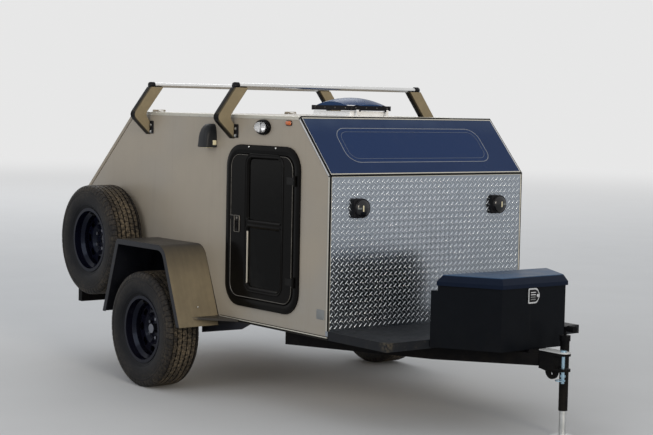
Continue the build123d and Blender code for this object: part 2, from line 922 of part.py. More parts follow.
# Rear hatch: the rear slope and the upright below it, bent as one panel
hatch_start = (roof_rear[0] + moving_gap * rear_down_x, roof_rear[1] + moving_gap * rear_down_z)
hatch_inner_start = (skin[3][0] + moving_gap * rear_down_x, skin[3][1] + moving_gap * rear_down_z)
hatch_foot_gap = hatch_foot_height + moving_gap
handle_half = 60
handle_bar = 8
handle_rise = 90
handle_height = hatch_foot_height + handle_rise

with BuildPart() as rear_hatch:
    with BuildSketch(Plane.XZ):
        with BuildLine():
            Polyline(
                hatch_start,
                knee_rear,
                (knee_rear[0], hatch_foot_gap),
                (knee_rear[0] + panel, hatch_foot_gap),
                skin[4],
                hatch_inner_start,
                close=True,
            )
        make_face()
    extrude(amount=half_width, both=True)
    for offset in hatch_hinge_offsets:
        for side in (-1, 1):
            near = -offset + side * (hatch_barrel / 2 + knuckle_play)
            with BuildSketch(Plane.XZ.offset(near)):
                with Locations((hatch_axis_x, hatch_axis_z)):
                    Circle(hatch_hinge_radius)
                with BuildLine():
                    Polyline(
                        (hatch_axis_x, hatch_axis_z + hatch_hinge_radius - leaf_root / 2),
                        (hatch_axis_x - 1.5 * leaf_root, hatch_axis_z - hatch_hinge_radius + leaf_root),
                        (
                            hatch_start[0] + leaf_root * rear_down_x,
                            hatch_start[1] + leaf_root * rear_down_z,
                        ),
                        (
                            hatch_start[0] + leaf_reach * rear_down_x,
                            hatch_start[1] + leaf_reach * rear_down_z,
                        ),
                        (
                            hatch_start[0] + leaf_reach * rear_down_x + hinge_leaf * rear_out_x,
                            hatch_start[1] + leaf_reach * rear_down_z + hinge_leaf * rear_out_z,
                        ),
                        close=True,
                    )
                make_face()
                with Locations((hatch_axis_x, hatch_axis_z)):
                    Circle(hatch_pin + hinge_play, mode=Mode.SUBTRACT)
            extrude(amount=side * (hatch_knuckle - 2 * knuckle_play))
    with BuildSketch(Plane.YZ.offset(knee_rear[0])):
        with Locations((-handle_half, handle_height), (handle_half, handle_height)):
            Circle(handle_bar)
    extrude(amount=-handle_reach + handle_bar)
    with BuildSketch(Plane.XZ):
        with Locations((knee_rear[0] - handle_reach + handle_bar, handle_height)):
            Circle(handle_bar)
    extrude(amount=handle_half + handle_bar, both=True)
save(rear_hatch.part, "rear_hatch")

# Fixed lower rear wall below the hatch
with BuildPart() as rear_wall:
    with BuildSketch(Plane.XY.offset(floor_height)):
        with Locations((station(panel / 2 - cabin_length), 0)):
            Rectangle(panel, cabin_width)
    extrude(amount=hatch_foot)
save(rear_wall.part, "rear_wall")

# Bulkhead between the sleeping space and the galley
bulkhead_station = -2250
bulkhead_sheet = 12
bulkhead_head = 1180
with BuildPart() as galley_bulkhead:
    with BuildSketch(Plane.XY.offset(floor_top)):
        with Locations((station(bulkhead_station), 0)):
            Rectangle(bulkhead_sheet, 2 * wall_inner)
    extrude(amount=floor_height + bulkhead_head - floor_top)
save(galley_bulkhead.part, "galley_bulkhead")

# Roof vent: white base, black lid frame and a domed cover
vent_base_long = 440
vent_base_across = 413
vent_collar_wall = 14
vent_corner = 20
vent_flange = 8
vent_collar = 36
vent_lid_out = 424
vent_lid_across = 337
vent_lid_tall = 30
vent_lid_low = vent_collar + moving_gap
vent_lid_high = vent_lid_low + vent_lid_tall
dome_long = 404
dome_across = 322
dome_corner = 66
dome_rise = 122
dome_radius = 510
dome_shell = 4
dome_seat = 20
vent_x = station(vent_station)
lid_hinge_offset = 4
lid_hinge_radius = 6
lid_pin = 3
lid_pin_length = 24
lid_hinge_half = 120
lid_ear = 8
lid_ear_foot = 23
lid_knuckle = 14
lid_leaf = 16
lid_hinge_x = vent_x + vent_lid_out / 2 + lid_hinge_offset
lid_hinge_z = roof_height + vent_lid_low

with BuildPart() as vent_base:
    with BuildSketch(Plane.XY.offset(roof_height)):
        with Locations((vent_x, 0)):
            RectangleRounded(vent_base_long, vent_base_across, vent_corner)
            Rectangle(vent_opening, vent_opening_across, mode=Mode.SUBTRACT)
    extrude(amount=vent_flange)
    with BuildSketch(Plane.XY.offset(roof_height + vent_flange)):
        with Locations((vent_x, 0)):
            RectangleRounded(
                vent_opening + 2 * vent_collar_wall,
                vent_opening_across + 2 * vent_collar_wall,
                vent_corner / 2,
            )
            Rectangle(vent_opening, vent_opening_across, mode=Mode.SUBTRACT)
    extrude(amount=vent_collar - vent_flange)
    for side in (-1, 1):
        with BuildSketch(Plane.XZ.offset(side * lid_hinge_half)):
            with BuildLine():
                Polyline(
                    (lid_hinge_x - lid_ear_foot, roof_height),
                    (lid_hinge_x, roof_height),
                    (lid_hinge_x + lid_hinge_radius, lid_hinge_z),
                    (lid_hinge_x - lid_hinge_radius, lid_hinge_z),
                    (lid_hinge_x - lid_hinge_radius, lid_hinge_z - 2 * lid_hinge_radius),
                    close=True,
                )
            make_face()
            with Locations((lid_hinge_x, lid_hinge_z)):
                Circle(lid_hinge_radius)
        extrude(amount=lid_ear, both=True)
        with BuildSketch(Plane.XZ.offset(side * lid_hinge_half)):
            with Locations((lid_hinge_x, lid_hinge_z)):
                Circle(lid_pin)
        extrude(amount=-side * lid_pin_length)
save(vent_base.part, "vent_base")

with BuildPart() as vent_lid:
    with BuildSketch(Plane.XY.offset(roof_height + vent_lid_low)):
        with Locations((vent_x, 0)):
            RectangleRounded(vent_lid_out - 2 * lid_hinge_offset, vent_lid_across, vent_corner)
            RectangleRounded(
                dome_long - 2 * dome_seat,
                dome_across - 2 * dome_seat,
                vent_corner,
                mode=Mode.SUBTRACT,
            )
    extrude(amount=vent_lid_tall)
    for side in (-1, 1):
        with BuildSketch(Plane.XZ.offset(side * (lid_hinge_half - lid_ear - 2 * knuckle_play))):
            with Locations((lid_hinge_x, lid_hinge_z)):
                Circle(lid_hinge_radius)
            with BuildLine():
                Polyline(
                    (lid_hinge_x + lid_pin, lid_hinge_z + lid_hinge_radius - 1),
                    (lid_hinge_x - lid_pin, lid_hinge_z + lid_hinge_radius - 1),
                    (lid_hinge_x - lid_leaf, lid_hinge_z + 1),
                    (lid_hinge_x - lid_leaf, lid_hinge_z + 2 * lid_hinge_radius),
                    close=True,
                )
            make_face()
            with Locations((lid_hinge_x, lid_hinge_z)):
                Circle(lid_pin + hinge_play, mode=Mode.SUBTRACT)
        extrude(amount=-side * lid_knuckle)
save(vent_lid.part, "vent_lid")

with BuildPart() as vent_dome:
    with BuildSketch(Plane.XY.offset(roof_height + vent_lid_high)):
        with Locations((vent_x, 0)):
            RectangleRounded(dome_long, dome_across, dome_corner)
    extrude(amount=dome_rise - vent_lid_high)
    with Locations((vent_x, 0, roof_height + dome_rise - dome_radius)):
        Sphere(dome_radius, mode=Mode.INTERSECT)
    with BuildSketch(Plane.XY.offset(roof_height + vent_lid_high)):
        with Locations((vent_x, 0)):
            RectangleRounded(
                dome_long - 2 * dome_shell,
                dome_across - 2 * dome_shell,
                dome_corner - dome_shell,
            )
    extrude(amount=dome_shell, mode=Mode.SUBTRACT)
save(vent_dome.part, "vent_dome")

# Roof rack: two round bars on four cranked arms that are bolted to the walls
bar_radius = 16
bar_half = 745
bar_rise = 182
bar_stations = (-1010, -2010)
bar_height = roof_height + bar_rise
arm_depth = 60
arm_seat = 12
cap_wall = 4
cap_length = 90
cap_end = 15
cap_play = 0.3
cap_out = bar_half + cap_end
cap_in = cap_out - cap_length
foot_plate_sheet = 8
foot_plate_reach = 41
foot_plate_low = -141
foot_plate_high = -57

# Columns: distance out from the wall's face, height above the roof
arm_profile = [
    (0, -147),
    (135, -20),
    (-5, bar_rise - arm_seat),
    (-100, bar_rise - arm_seat),
    (38, -12),
    (0, -67),
]

with BuildPart() as rack_bars:
    with BuildSketch(Plane.XZ):
        for place in bar_stations:
            with Locations((station(place), bar_height)):
                Circle(bar_radius)
    extrude(amount=bar_half, both=True)
save(rack_bars.part, "rack_bars")

with BuildPart() as rack_arms:
    for place in bar_stations:
        with BuildSketch(Plane.YZ.offset(station(place))):
            with BuildLine():
                Polyline(*[(-half_width - out, roof_height + rise) for out, rise in arm_profile], close=True)
            make_face()
        extrude(amount=arm_depth / 2, both=True)
    with BuildSketch(Plane.XZ.offset(half_width)):
        for place in bar_stations:
            with Locations((station(place) + foot_plate_reach / 2, roof_height + foot_plate_low)):
                Rectangle(
                    arm_depth + foot_plate_reach,
                    foot_plate_high - foot_plate_low,
                    align=(Align.CENTER, Align.MIN),
                )
    extrude(amount=foot_plate_sheet)
    with BuildSketch(Plane.XZ.offset(cap_in)):
        for place in bar_stations:
            with Locations((station(place), bar_height)):
                Circle(bar_radius + cap_wall)
    extrude(amount=cap_length)
    with BuildSketch(Plane.XZ.offset(cap_in - cap_end)):
        for place in bar_stations:
            with Locations((station(place), bar_height)):
                Circle(bar_radius + cap_play)
    extrude(amount=cap_length + cap_play, mode=Mode.SUBTRACT)
    mirror(about=Plane.XZ)
save(rack_arms.part, "rack_arms")

# Fenders: a folded sheet with a flat top, sloped ends and a rolled rim on the outside
fender_out = 1066
fender_sheet = 4
fender_rim = 34
fender_top = 452
fender_foot = -45
fender_top_front = -1308
fender_top_rear = -1893
fender_foot_front = -1112
fender_foot_rear = -2064
fender_front_radius = 110
fender_rear_radius = 35
step_rear = -1140
step_front = -905
step_out = 962
step_sheet = 13
step_end = 12
bracket_sheet = 12
bracket_drop = 115
bracket_front_drop = 43
bracket_rear = -1300
bracket_bend = -864
bracket_front = -770


def fender_face(depth):
    """Face under the fender's outline moved in by depth, rounded at its upper corners."""
    corners = [
        (station(fender_foot_front), floor_height + fender_foot),
        (station(fender_top_front), floor_height + fender_top),
        (station(fender_top_rear), floor_height + fender_top),
        (station(fender_foot_rear), floor_height + fender_foot),
    ]
    radii = [0, fender_front_radius - depth, fender_rear_radius - depth, 0]
    with BuildSketch(Plane.XZ) as face:
        with BuildLine():
            rounded_loop(inset(corners, [depth, depth, depth, 0]), radii)
        make_face()
    return face.sketch


def fender_slab(depth, low, high):
    placed = fender_face(depth).moved(Location((0, -low, 0)))
    return extrude(placed, amount=high - low, dir=(0, -1, 0))


outer_block = fender_slab(0, half_width, fender_out)
inner_block = fender_slab(fender_sheet, half_width - 1, fender_out + 1)
rim_block = fender_slab(0, fender_out - fender_sheet, fender_out)
rim_hole = fender_slab(fender_rim, fender_out - 2 * fender_sheet, fender_out + 1)
fender_shell = (outer_block - inner_block) + (rim_block - rim_hole)

# Step ahead of the fender, on a bracket that hangs below the wall's lower edge
with BuildPart() as step_block:
    with BuildSketch(Plane.XY.offset(floor_height)):
        with BuildLine():
            Polyline(
                (station(step_rear), -half_width),
                (station(step_rear), -step_out),
                (station(step_front), -half_width - step_end),
                (station(step_front), -half_width),
                close=True,
            )
        make_face()
    extrude(amount=step_sheet)

with BuildPart() as step_bracket:
    with BuildSketch(Plane.XZ.offset(half_width)):
        with BuildLine():
            Polyline(
                (station(bracket_front), floor_height),
                (station(bracket_rear), floor_height),
                (station(bracket_rear), floor_height - bracket_drop),
                (station(bracket_bend), floor_height - bracket_front_drop),
                close=True,
            )
        make_face()
    extrude(amount=bracket_sheet)

fender = fender_shell + (step_block.part - outer_block) + step_bracket.part
save_pair(fender.solids().sort_by(SortBy.VOLUME)[-1], "fender")

# Tongue box: a tapered locker with a bevelled lid
box_ledge_depth = 35
box_ledge = box_rear + box_ledge_depth
box_rear_half = 452
box_front_half = 248
box_sheet = 3
box_top = 856
ledge_top = 815
lid_over = 12
lid_low = 846
lid_shoulder = 868
lid_top = 906
lid_bevel = 26
lid_gap = 6
hinge_behind = 8
box_hinge_foot = 6
box_hinge_station = box_ledge - hinge_behind
box_hinge_height = box_top + lid_gap
box_hinge_radius = 5
box_pin = 2.5
box_hinge_half = 24
box_hinge_offsets = (-280, 280)
box_taper = (box_rear_half - box_front_half) / (box_front - box_rear)
box_side = sqrt(1 + box_taper**2)


def box_half(distance, grow):
    """Half width of the box at one station, its sides moved out by grow."""
    return box_rear_half - box_taper * (distance - box_rear) + grow * box_side


def box_plan(rear, front, grow):
    return [
        (station(rear), -box_half(rear, grow)),
        (station(front + grow), -box_half(front + grow, grow)),
        (station(front + grow), box_half(front + grow, grow)),
        (station(rear), box_half(rear, grow)),
    ]


with BuildPart() as tongue_box:
    with BuildSketch(Plane.XY.offset(box_floor_height)):
        with BuildLine():
            Polyline(*box_plan(box_rear, box_front, 0), close=True)
        make_face()
    extrude(amount=ledge_top - box_floor_height)
    with BuildSketch(Plane.XY.offset(ledge_top)):
        with BuildLine():
            Polyline(*box_plan(box_ledge, box_front, 0), close=True)
        make_face()
    extrude(amount=box_top - ledge_top)
    with BuildSketch(Plane.XY.offset(box_floor_height + box_sheet)):
        with BuildLine():
            Polyline(*box_plan(box_ledge + box_sheet, box_front, -box_sheet), close=True)
        make_face()
    extrude(amount=box_top - box_floor_height, mode=Mode.SUBTRACT)
    for offset in box_hinge_offsets:
        with BuildSketch(Plane.XZ.offset(offset)):
            with Locations((station(box_hinge_station), box_hinge_height)):
                Circle(box_hinge_radius)
            with BuildLine():
                Polyline(
                    (station(box_hinge_station) - box_hinge_radius, box_hinge_height),
                    (station(box_hinge_station) - box_hinge_radius - box_hinge_foot, ledge_top),
                    (station(box_ledge), ledge_top),
                    (station(box_hinge_station) + box_pin, box_hinge_height),
                    close=True,
                )
            make_face()
        extrude(amount=box_hinge_half, both=True)
        with BuildSketch(Plane.XZ.offset(offset)):
            with Locations((station(box_hinge_station), box_hinge_height)):
                Circle(box_pin)
        extrude(amount=2 * box_hinge_half, both=True)
save(tongue_box.part, "tongue_box")

lid_setback = 2
lid_rear = box_ledge + lid_setback

with BuildPart() as box_lid:
    with BuildSketch(Plane.XY.offset(lid_low)):
        with BuildLine():
            Polyline(*box_plan(lid_rear, box_front, lid_over), close=True)
        make_face()
    extrude(amount=lid_shoulder - lid_low)
    with BuildSketch(Plane.XY.offset(lid_shoulder)):
        with BuildLine():
            Polyline(*box_plan(lid_rear, box_front, lid_over), close=True)
        make_face()
    with BuildSketch(Plane.XY.offset(lid_top)):
        with BuildLine():
            Polyline(*box_plan(lid_rear + lid_bevel / 2, box_front, lid_over - lid_bevel), close=True)
        make_face()
    loft(ruled=True)
    with BuildSketch(Plane.XY.offset(lid_low)):
        with BuildLine():
            Polyline(*box_plan(box_rear, box_front, lid_over - box_sheet), close=True)
        make_face()
    extrude(amount=box_top + lid_gap - lid_low, mode=Mode.SUBTRACT)
    with BuildSketch(Plane.XY.offset(box_top + lid_gap)):
        with BuildLine():
            Polyline(*box_plan(lid_rear + 2 * box_sheet, box_front, lid_over - box_sheet), close=True)
        make_face()
    extrude(amount=lid_shoulder - box_top - lid_gap, mode=Mode.SUBTRACT)
    with BuildSketch(Plane.XY.offset(lid_shoulder)):
        with BuildLine():
            Polyline(*box_plan(lid_rear + 2 * box_sheet, box_front, lid_over - box_sheet), close=True)
        make_face()
    with BuildSketch(Plane.XY.offset(lid_top - box_sheet)):
        with BuildLine():
            Polyline(
                *box_plan(lid_rear + lid_bevel / 2 + box_sheet, box_front, lid_over - lid_bevel - box_sheet),
                close=True,
            )
        make_face()
    loft(ruled=True, mode=Mode.SUBTRACT)
    for offset in box_hinge_offsets:
        for side in (-1, 1):
            near = offset + side * (box_hinge_half + knuckle_play)
            with BuildSketch(Plane.XZ.offset(near)):
                with Locations((station(box_hinge_station), box_hinge_height)):
                    Circle(box_hinge_radius)
                with BuildLine():
                    Polyline(
                        (station(box_hinge_station), box_hinge_height + box_hinge_radius),
                        (station(box_hinge_station), box_hinge_height + 1),
                        (station(lid_rear) + lid_setback, box_hinge_height + 1),
                        (station(lid_rear) + lid_setback, box_hinge_height + box_hinge_radius),
                        close=True,
                    )
                make_face()
                with Locations((station(box_hinge_station), box_hinge_height)):
                    Circle(box_pin + hinge_play, mode=Mode.SUBTRACT)
            extrude(amount=side * (box_hinge_half - 4 * knuckle_play))
save(box_lid.part, "box_lid")

# Latch on the box's front: a bright D-shaped plate with its round side to the left
latch_offset = -8
latch_height = 799
latch_width = 92
latch_tall = 86
latch_sheet = 7
latch_round = 24

with BuildPart() as box_latch:
    with BuildSketch(Plane.YZ.offset(station(box_front))):
        with BuildLine():
            rounded_loop(
                [
                    (latch_offset - latch_width / 2, latch_height - latch_tall / 2),
                    (latch_offset + latch_width / 2 - latch_round, latch_height - latch_tall / 2),
                    (latch_offset + latch_width / 2, latch_height),
                    (latch_offset + latch_width / 2 - latch_round, latch_height + latch_tall / 2),
                    (latch_offset - latch_width / 2, latch_height + latch_tall / 2),
                ],
                [latch_sheet, latch_round, latch_round, latch_round, latch_sheet],
            )
        make_face()
    extrude(amount=latch_sheet)
save(box_latch.part, "box_latch")

# Jack: a swivel bracket on the left-hand tongue tube, a tube and a screw leg
jack_setback = 25
jack_drop = 80
jack_offset = 105
jack_plate = 8
jack_plate_long = 130
jack_plate_tall = 104
jack_plate_back = 42
jack_plate_rise = 22
jack_boss = 28
jack_boss_gap = 40
jack_spigot = 12
jack_flange = 40
jack_play = 0.5
jack_tube_radius = 26
jack_bore = 20.5
jack_leg_radius = 20
jack_tube_low = 150
jack_tube_high = 545
jack_tube_end = 8
jack_head = 32
jack_head_rim = 5
crank_rise = 40
crank_shaft = 9
grip_start = 24
grip_reach = 75
grip_radius = 18
jack_leg_top = 330
foot_radius = 70
foot_sheet = 6
foot_cup = 30
jack_station = tongue_nose - jack_setback
jack_pivot_height = floor_height - jack_drop
jack_boss_reach = jack_offset - jack_boss_gap
jack_spigot_reach = jack_offset - jack_tube_radius - 2
jack_crown = jack_tube_high + jack_head
forward_x = cos(tongue_angle)
forward_y = -sin(tongue_angle)
away_x = sin(tongue_angle)
away_y = cos(tongue_angle)
jack_face_x = station(jack_station)
jack_face_y = rail_outer(jack_station)
jack_x = jack_face_x + jack_offset * away_x
jack_y = jack_face_y + jack_offset * away_y


def jack_plane(reach):
    """Plane parallel to the tongue tube's left face, moved away by reach."""
    return Plane(
        origin=(jack_face_x + reach * away_x, jack_face_y + reach * away_y, jack_pivot_height),
        x_dir=(-forward_x, -forward_y, 0),
        z_dir=(away_x, away_y, 0),
    )


with BuildPart() as jack_bracket:
    with BuildSketch(jack_plane(0)):
        with Locations((jack_plate_back, jack_plate_rise)):
            Rectangle(jack_plate_long, jack_plate_tall)
    extrude(amount=jack_plate)
    with BuildSketch(jack_plane(0)):
        Circle(jack_boss)
    extrude(amount=jack_boss_reach)
    with BuildSketch(jack_plane(0)):
        Circle(jack_spigot)
    extrude(amount=jack_spigot_reach)
save(jack_bracket.part, "jack_bracket")

with BuildPart() as jack_tube:
    with BuildSketch(Plane.XY.offset(jack_tube_low)):
        with Locations((jack_x, jack_y)):
            Circle(jack_tube_radius)
    extrude(amount=jack_tube_high - jack_tube_low)
    with BuildSketch(jack_plane(jack_boss_reach + jack_play)):
        Circle(jack_flange)
    extrude(amount=jack_boss_gap - jack_play)
    with BuildSketch(Plane.XY.offset(jack_tube_high)):
        with Locations((jack_x, jack_y)):
            Circle(jack_tube_radius + jack_head_rim)
    extrude(amount=jack_head)
    with BuildSketch(Plane.XY.offset(jack_crown)):
        with Locations((jack_x, jack_y)):
            Circle(crank_shaft)
    extrude(amount=crank_rise + crank_shaft)
    with BuildSketch(Plane.YZ.offset(jack_x)):
        with Locations((jack_y, jack_crown + crank_rise)):
            Circle(crank_shaft)
    extrude(amount=grip_start)
    with BuildSketch(Plane.YZ.offset(jack_x + grip_start)):
        with Locations((jack_y, jack_crown + crank_rise)):
            Circle(grip_radius)
    extrude(amount=grip_reach - grip_start)
    with BuildSketch(jack_plane(0)):
        Circle(jack_spigot + spindle_play)
    extrude(amount=jack_spigot_reach + jack_play, mode=Mode.SUBTRACT)
    with BuildSketch(Plane.XY.offset(jack_tube_low)):
        with Locations((jack_x, jack_y)):
            Circle(jack_bore)
    extrude(amount=jack_tube_high - jack_tube_low - jack_tube_end, mode=Mode.SUBTRACT)
save(jack_tube.part, "jack_tube")

with BuildPart() as jack_leg:
    with BuildSketch(Plane.XY):
        with Locations((jack_x, jack_y)):
            Circle(foot_radius)
    extrude(amount=foot_sheet)
    with BuildSketch(Plane.XY.offset(foot_sheet)):
        with Locations((jack_x, jack_y)):
            Circle(foot_cup)
    extrude(amount=foot_sheet)
    with BuildSketch(Plane.XY):
        with Locations((jack_x, jack_y)):
            Circle(jack_leg_radius)
    extrude(amount=jack_leg_top)
save(jack_leg.part, "jack_leg")

# Lamps on both sides: oval porch lamps over the doors, wedge lamps on the walls,
# round hooded lamps at the front and blocks at the rear
porch_back = 5
porch_gap = 113
porch_wide = 150
porch_tall = 95
porch_base = 22
porch_dome_wide = 120
porch_dome_tall = 75
porch_dome_reach = 55
porch_dome_taper = 16
front_lamp_offset = 547
front_lamp_height = 760
front_lamp_radius = 57
front_lamp_reach = 34
front_lamp_wall = 6
front_hood_reach = 52
tail_offset = 660
tail_height = 110
tail_wide = 150
tail_tall = 70
tail_reach = 26
tail_corner = 12
porch_x = door_middle - porch_back
porch_z = floor_height + door_frame_foot + door_frame_tall + porch_gap
wall_lamp_station = -1230
wall_lamp_drop = 208

with BuildPart() as porch_lamps:
    with BuildSketch(Plane.XZ.offset(half_width)):
        with Locations((porch_x, porch_z)):
            Ellipse(porch_wide / 2, porch_tall / 2)
    extrude(amount=porch_base)
    for reach, taper in ((porch_base, 0), (porch_dome_reach, porch_dome_taper)):
        with BuildSketch(Plane.XZ.offset(half_width + reach)):
            with Locations((porch_x, porch_z)):
                Ellipse(porch_dome_wide / 2 - taper, porch_dome_tall / 2 - taper)
    loft(ruled=True)
    mirror(about=Plane.XZ)
save(porch_lamps.part, "porch_lamps")

# Columns: height above the lamp's foot, width along the wall, reach out from it
wall_lamp_sections = [
    (0, 104, 88),
    (85, 92, 74),
    (148, 52, 36),
]

with BuildPart() as wall_lamps:
    for rise, wide, reach in wall_lamp_sections:
        with BuildSketch(Plane.XY.offset(roof_height - wall_lamp_drop + rise)):
            with Locations((station(wall_lamp_station), -half_width)):
                Rectangle(wide, reach, align=(Align.CENTER, Align.MAX))
    loft(ruled=True)
    mirror(about=Plane.XZ)
save(wall_lamps.part, "wall_lamps")

with BuildPart() as front_lamps:
    with BuildSketch(Plane.YZ.offset(station(0))):
        with Locations((-front_lamp_offset, floor_height + front_lamp_height)):
            Circle(front_lamp_radius)
    extrude(amount=front_lamp_reach)
    with BuildSketch(Plane.YZ.offset(station(0))):
        with Locations((-front_lamp_offset, floor_height + front_lamp_height)):
            Circle(front_lamp_radius)
            Circle(front_lamp_radius - front_lamp_wall, mode=Mode.SUBTRACT)
        with Locations((-front_lamp_offset, floor_height + front_lamp_height - front_lamp_radius)):
            Rectangle(3 * front_lamp_radius, 2 * front_lamp_radius, mode=Mode.SUBTRACT)
    extrude(amount=front_hood_reach)
    mirror(about=Plane.XZ)
save(front_lamps.part, "front_lamps")

with BuildPart() as tail_lamps:
    with BuildSketch(Plane.YZ.offset(station(-cabin_length))):
        with Locations((-tail_offset, floor_height + tail_height)):
            RectangleRounded(tail_wide, tail_tall, tail_corner)
    extrude(amount=-tail_reach)
    mirror(about=Plane.XZ)
save(tail_lamps.part, "tail_lamps")
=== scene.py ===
from math import cos, pi, radians, sin

import bpy
import numpy as np
from mathutils import Matrix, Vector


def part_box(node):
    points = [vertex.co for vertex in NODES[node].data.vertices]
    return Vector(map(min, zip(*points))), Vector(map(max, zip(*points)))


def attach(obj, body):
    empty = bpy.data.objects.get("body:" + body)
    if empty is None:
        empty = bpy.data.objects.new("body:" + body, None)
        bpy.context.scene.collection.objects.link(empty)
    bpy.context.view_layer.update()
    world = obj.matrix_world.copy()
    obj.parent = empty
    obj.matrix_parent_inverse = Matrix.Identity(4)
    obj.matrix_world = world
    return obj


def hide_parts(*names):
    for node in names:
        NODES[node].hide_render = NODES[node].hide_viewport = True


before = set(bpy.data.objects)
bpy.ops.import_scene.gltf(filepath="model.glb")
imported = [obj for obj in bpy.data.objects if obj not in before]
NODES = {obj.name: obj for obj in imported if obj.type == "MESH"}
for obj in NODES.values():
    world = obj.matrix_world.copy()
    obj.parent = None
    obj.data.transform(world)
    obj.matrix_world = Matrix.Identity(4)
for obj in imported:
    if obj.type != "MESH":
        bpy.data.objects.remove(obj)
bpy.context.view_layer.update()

bl_info = {
    "name": "Teardrop trailer finish",
    "version": (1, 0, 0),
    "blender": (4, 5, 0),
    "location": "3D View > Sidebar > Trailer",
    "description": "Dresses the packed teardrop trailer with tyres, trims, fittings and finishes",
    "category": "Object",
}


def low(node):
    """Lowest corner of a CAD node at rest."""
    return np.array(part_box(node)[0])


def high(node):
    """Highest corner of a CAD node at rest."""
    return np.array(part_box(node)[1])


def middle_of(node):
    """Middle of a CAD node's box at rest."""
    return (low(node) + high(node)) / 2


# Places on the trailer, in metres: X forward, Y left, Z up from the ground
X, Y, Z = np.eye(3)
FRONT, HALF, KNEE = high("front_wall")
FLOOR = low("front_wall")[2]
ROOF = FLOOR + 1.282
SLOPE_TOP = FRONT - 0.303
ROOF_REAR = FRONT - 2.196
REAR = FRONT - 2.946
REAR_KNEE = FLOOR + 0.631
HATCH_FOOT = high("rear_wall")[2]
DECK = high("front_deck")[2]
LID = high("box_lid")[2]
TYRE_RADIUS = 0.373
AXLE = middle_of("tyre_right")
SPARE = middle_of("spare_tyre")
SIDES = {"right": -1.0, "left": 1.0}
# Bolts of the rack's feet, and the fender's ends along the wall's foot
FOOT_BOLTS_X, FOOT_BOLTS_Z = (-0.0585, -1.0585), (1.682, 1.640)
FENDER_REAR, FENDER_FRONT = -1.166, -0.205
# Tyre piece, valve piece, CAD tyre, body, centre and the side that faces out
WHEELS = (
    ("tyre_road_right", "valve_right", "tyre_right", "wheel_right", AXLE, -1.0),
    ("tyre_road_left", "valve_left", "tyre_left", "wheel_left", AXLE * [1, -1, 1], 1.0),
    ("tyre_spare", "valve_spare", "spare_tyre", "chassis", SPARE, -1.0),
)


def unit(vector):
    """The vector divided by its own length."""
    vector = np.asarray(vector, float)
    return vector / np.linalg.norm(vector, axis=-1, keepdims=True)


def circle(radius, count):
    """Points (r cos t, r sin t) for count equal steps of t."""
    t = np.arange(count) * 2 * pi / count
    return np.stack([radius * np.cos(t), radius * np.sin(t)], -1)


def rounded(width, height, radius, steps=6):
    """A rectangle's outline, anticlockwise from its upper right corner, each corner a quarter circle of
    its own radius in steps; one radius stands for all four."""
    radii = np.broadcast_to(radius, 4)
    t = np.linspace(0, pi / 2, steps + 1)
    arc = np.stack([np.cos(t), np.sin(t)], -1)
    turned = []
    for quarter, way in enumerate([(1, 1), (-1, 1), (-1, -1), (1, -1)]):
        c, s = cos(quarter * pi / 2), sin(quarter * pi / 2)
        corner = (np.array([width / 2, height / 2]) - radii[quarter]) * way
        turned.append(radii[quarter] * arc @ np.array([[c, s], [-s, c]]) + corner)
    return np.concatenate(turned)


def level(outline, height):
    """An outline given a third coordinate, the same height all round."""
    return np.concatenate([outline, np.full((len(outline), 1), height)], -1)


def turned_rings(profile, count):
    """Rings of a turned shape: each (radius, height) row of the profile is a circle at that height."""
    return np.stack([level(circle(radius, count), height) for radius, height in profile])


def stacked(outline, steps):
    """Rings of an outline: each (shrink, height) row moves every point inward by shrink along the
    outline's own normal and lifts it to height."""
    ahead = unit(np.roll(outline, -1, 0) - outline)
    behind = unit(outline - np.roll(outline, 1, 0))
    normal = unit(np.stack([-(ahead + behind)[:, 1], (ahead + behind)[:, 0]], -1))
    return np.stack([level(outline + normal * shrink, height) for shrink, height in steps])


def dome(outline, middle, height, foot=0.0, end=1.5):
    """A bulge: at angle u from 0 to end the outline shrinks to cos u of its size at height * sin u."""
    return np.stack([
        level((outline - middle) * cos(u) + middle, foot + height * sin(u)) for u in np.linspace(0, end, 8)
    ])


def along_path(section, path, across, up):
    """Rings of a section carried along a path: point = path + section x * across + section y * up."""
    section, path = np.asarray(section, float), np.asarray(path, float)
    across = np.broadcast_to(across, path.shape)
    up = np.broadcast_to(up, path.shape)
    return path[:, None] + section[None, :, :1] * across[:, None] + section[None, :, 1:] * up[:, None]


def wall_frame(side):
    """Place and axes of a side wall: a runs forward, b up and c outward from the wall's face."""
    return Y * side * HALF, (X, Z, Y * side)


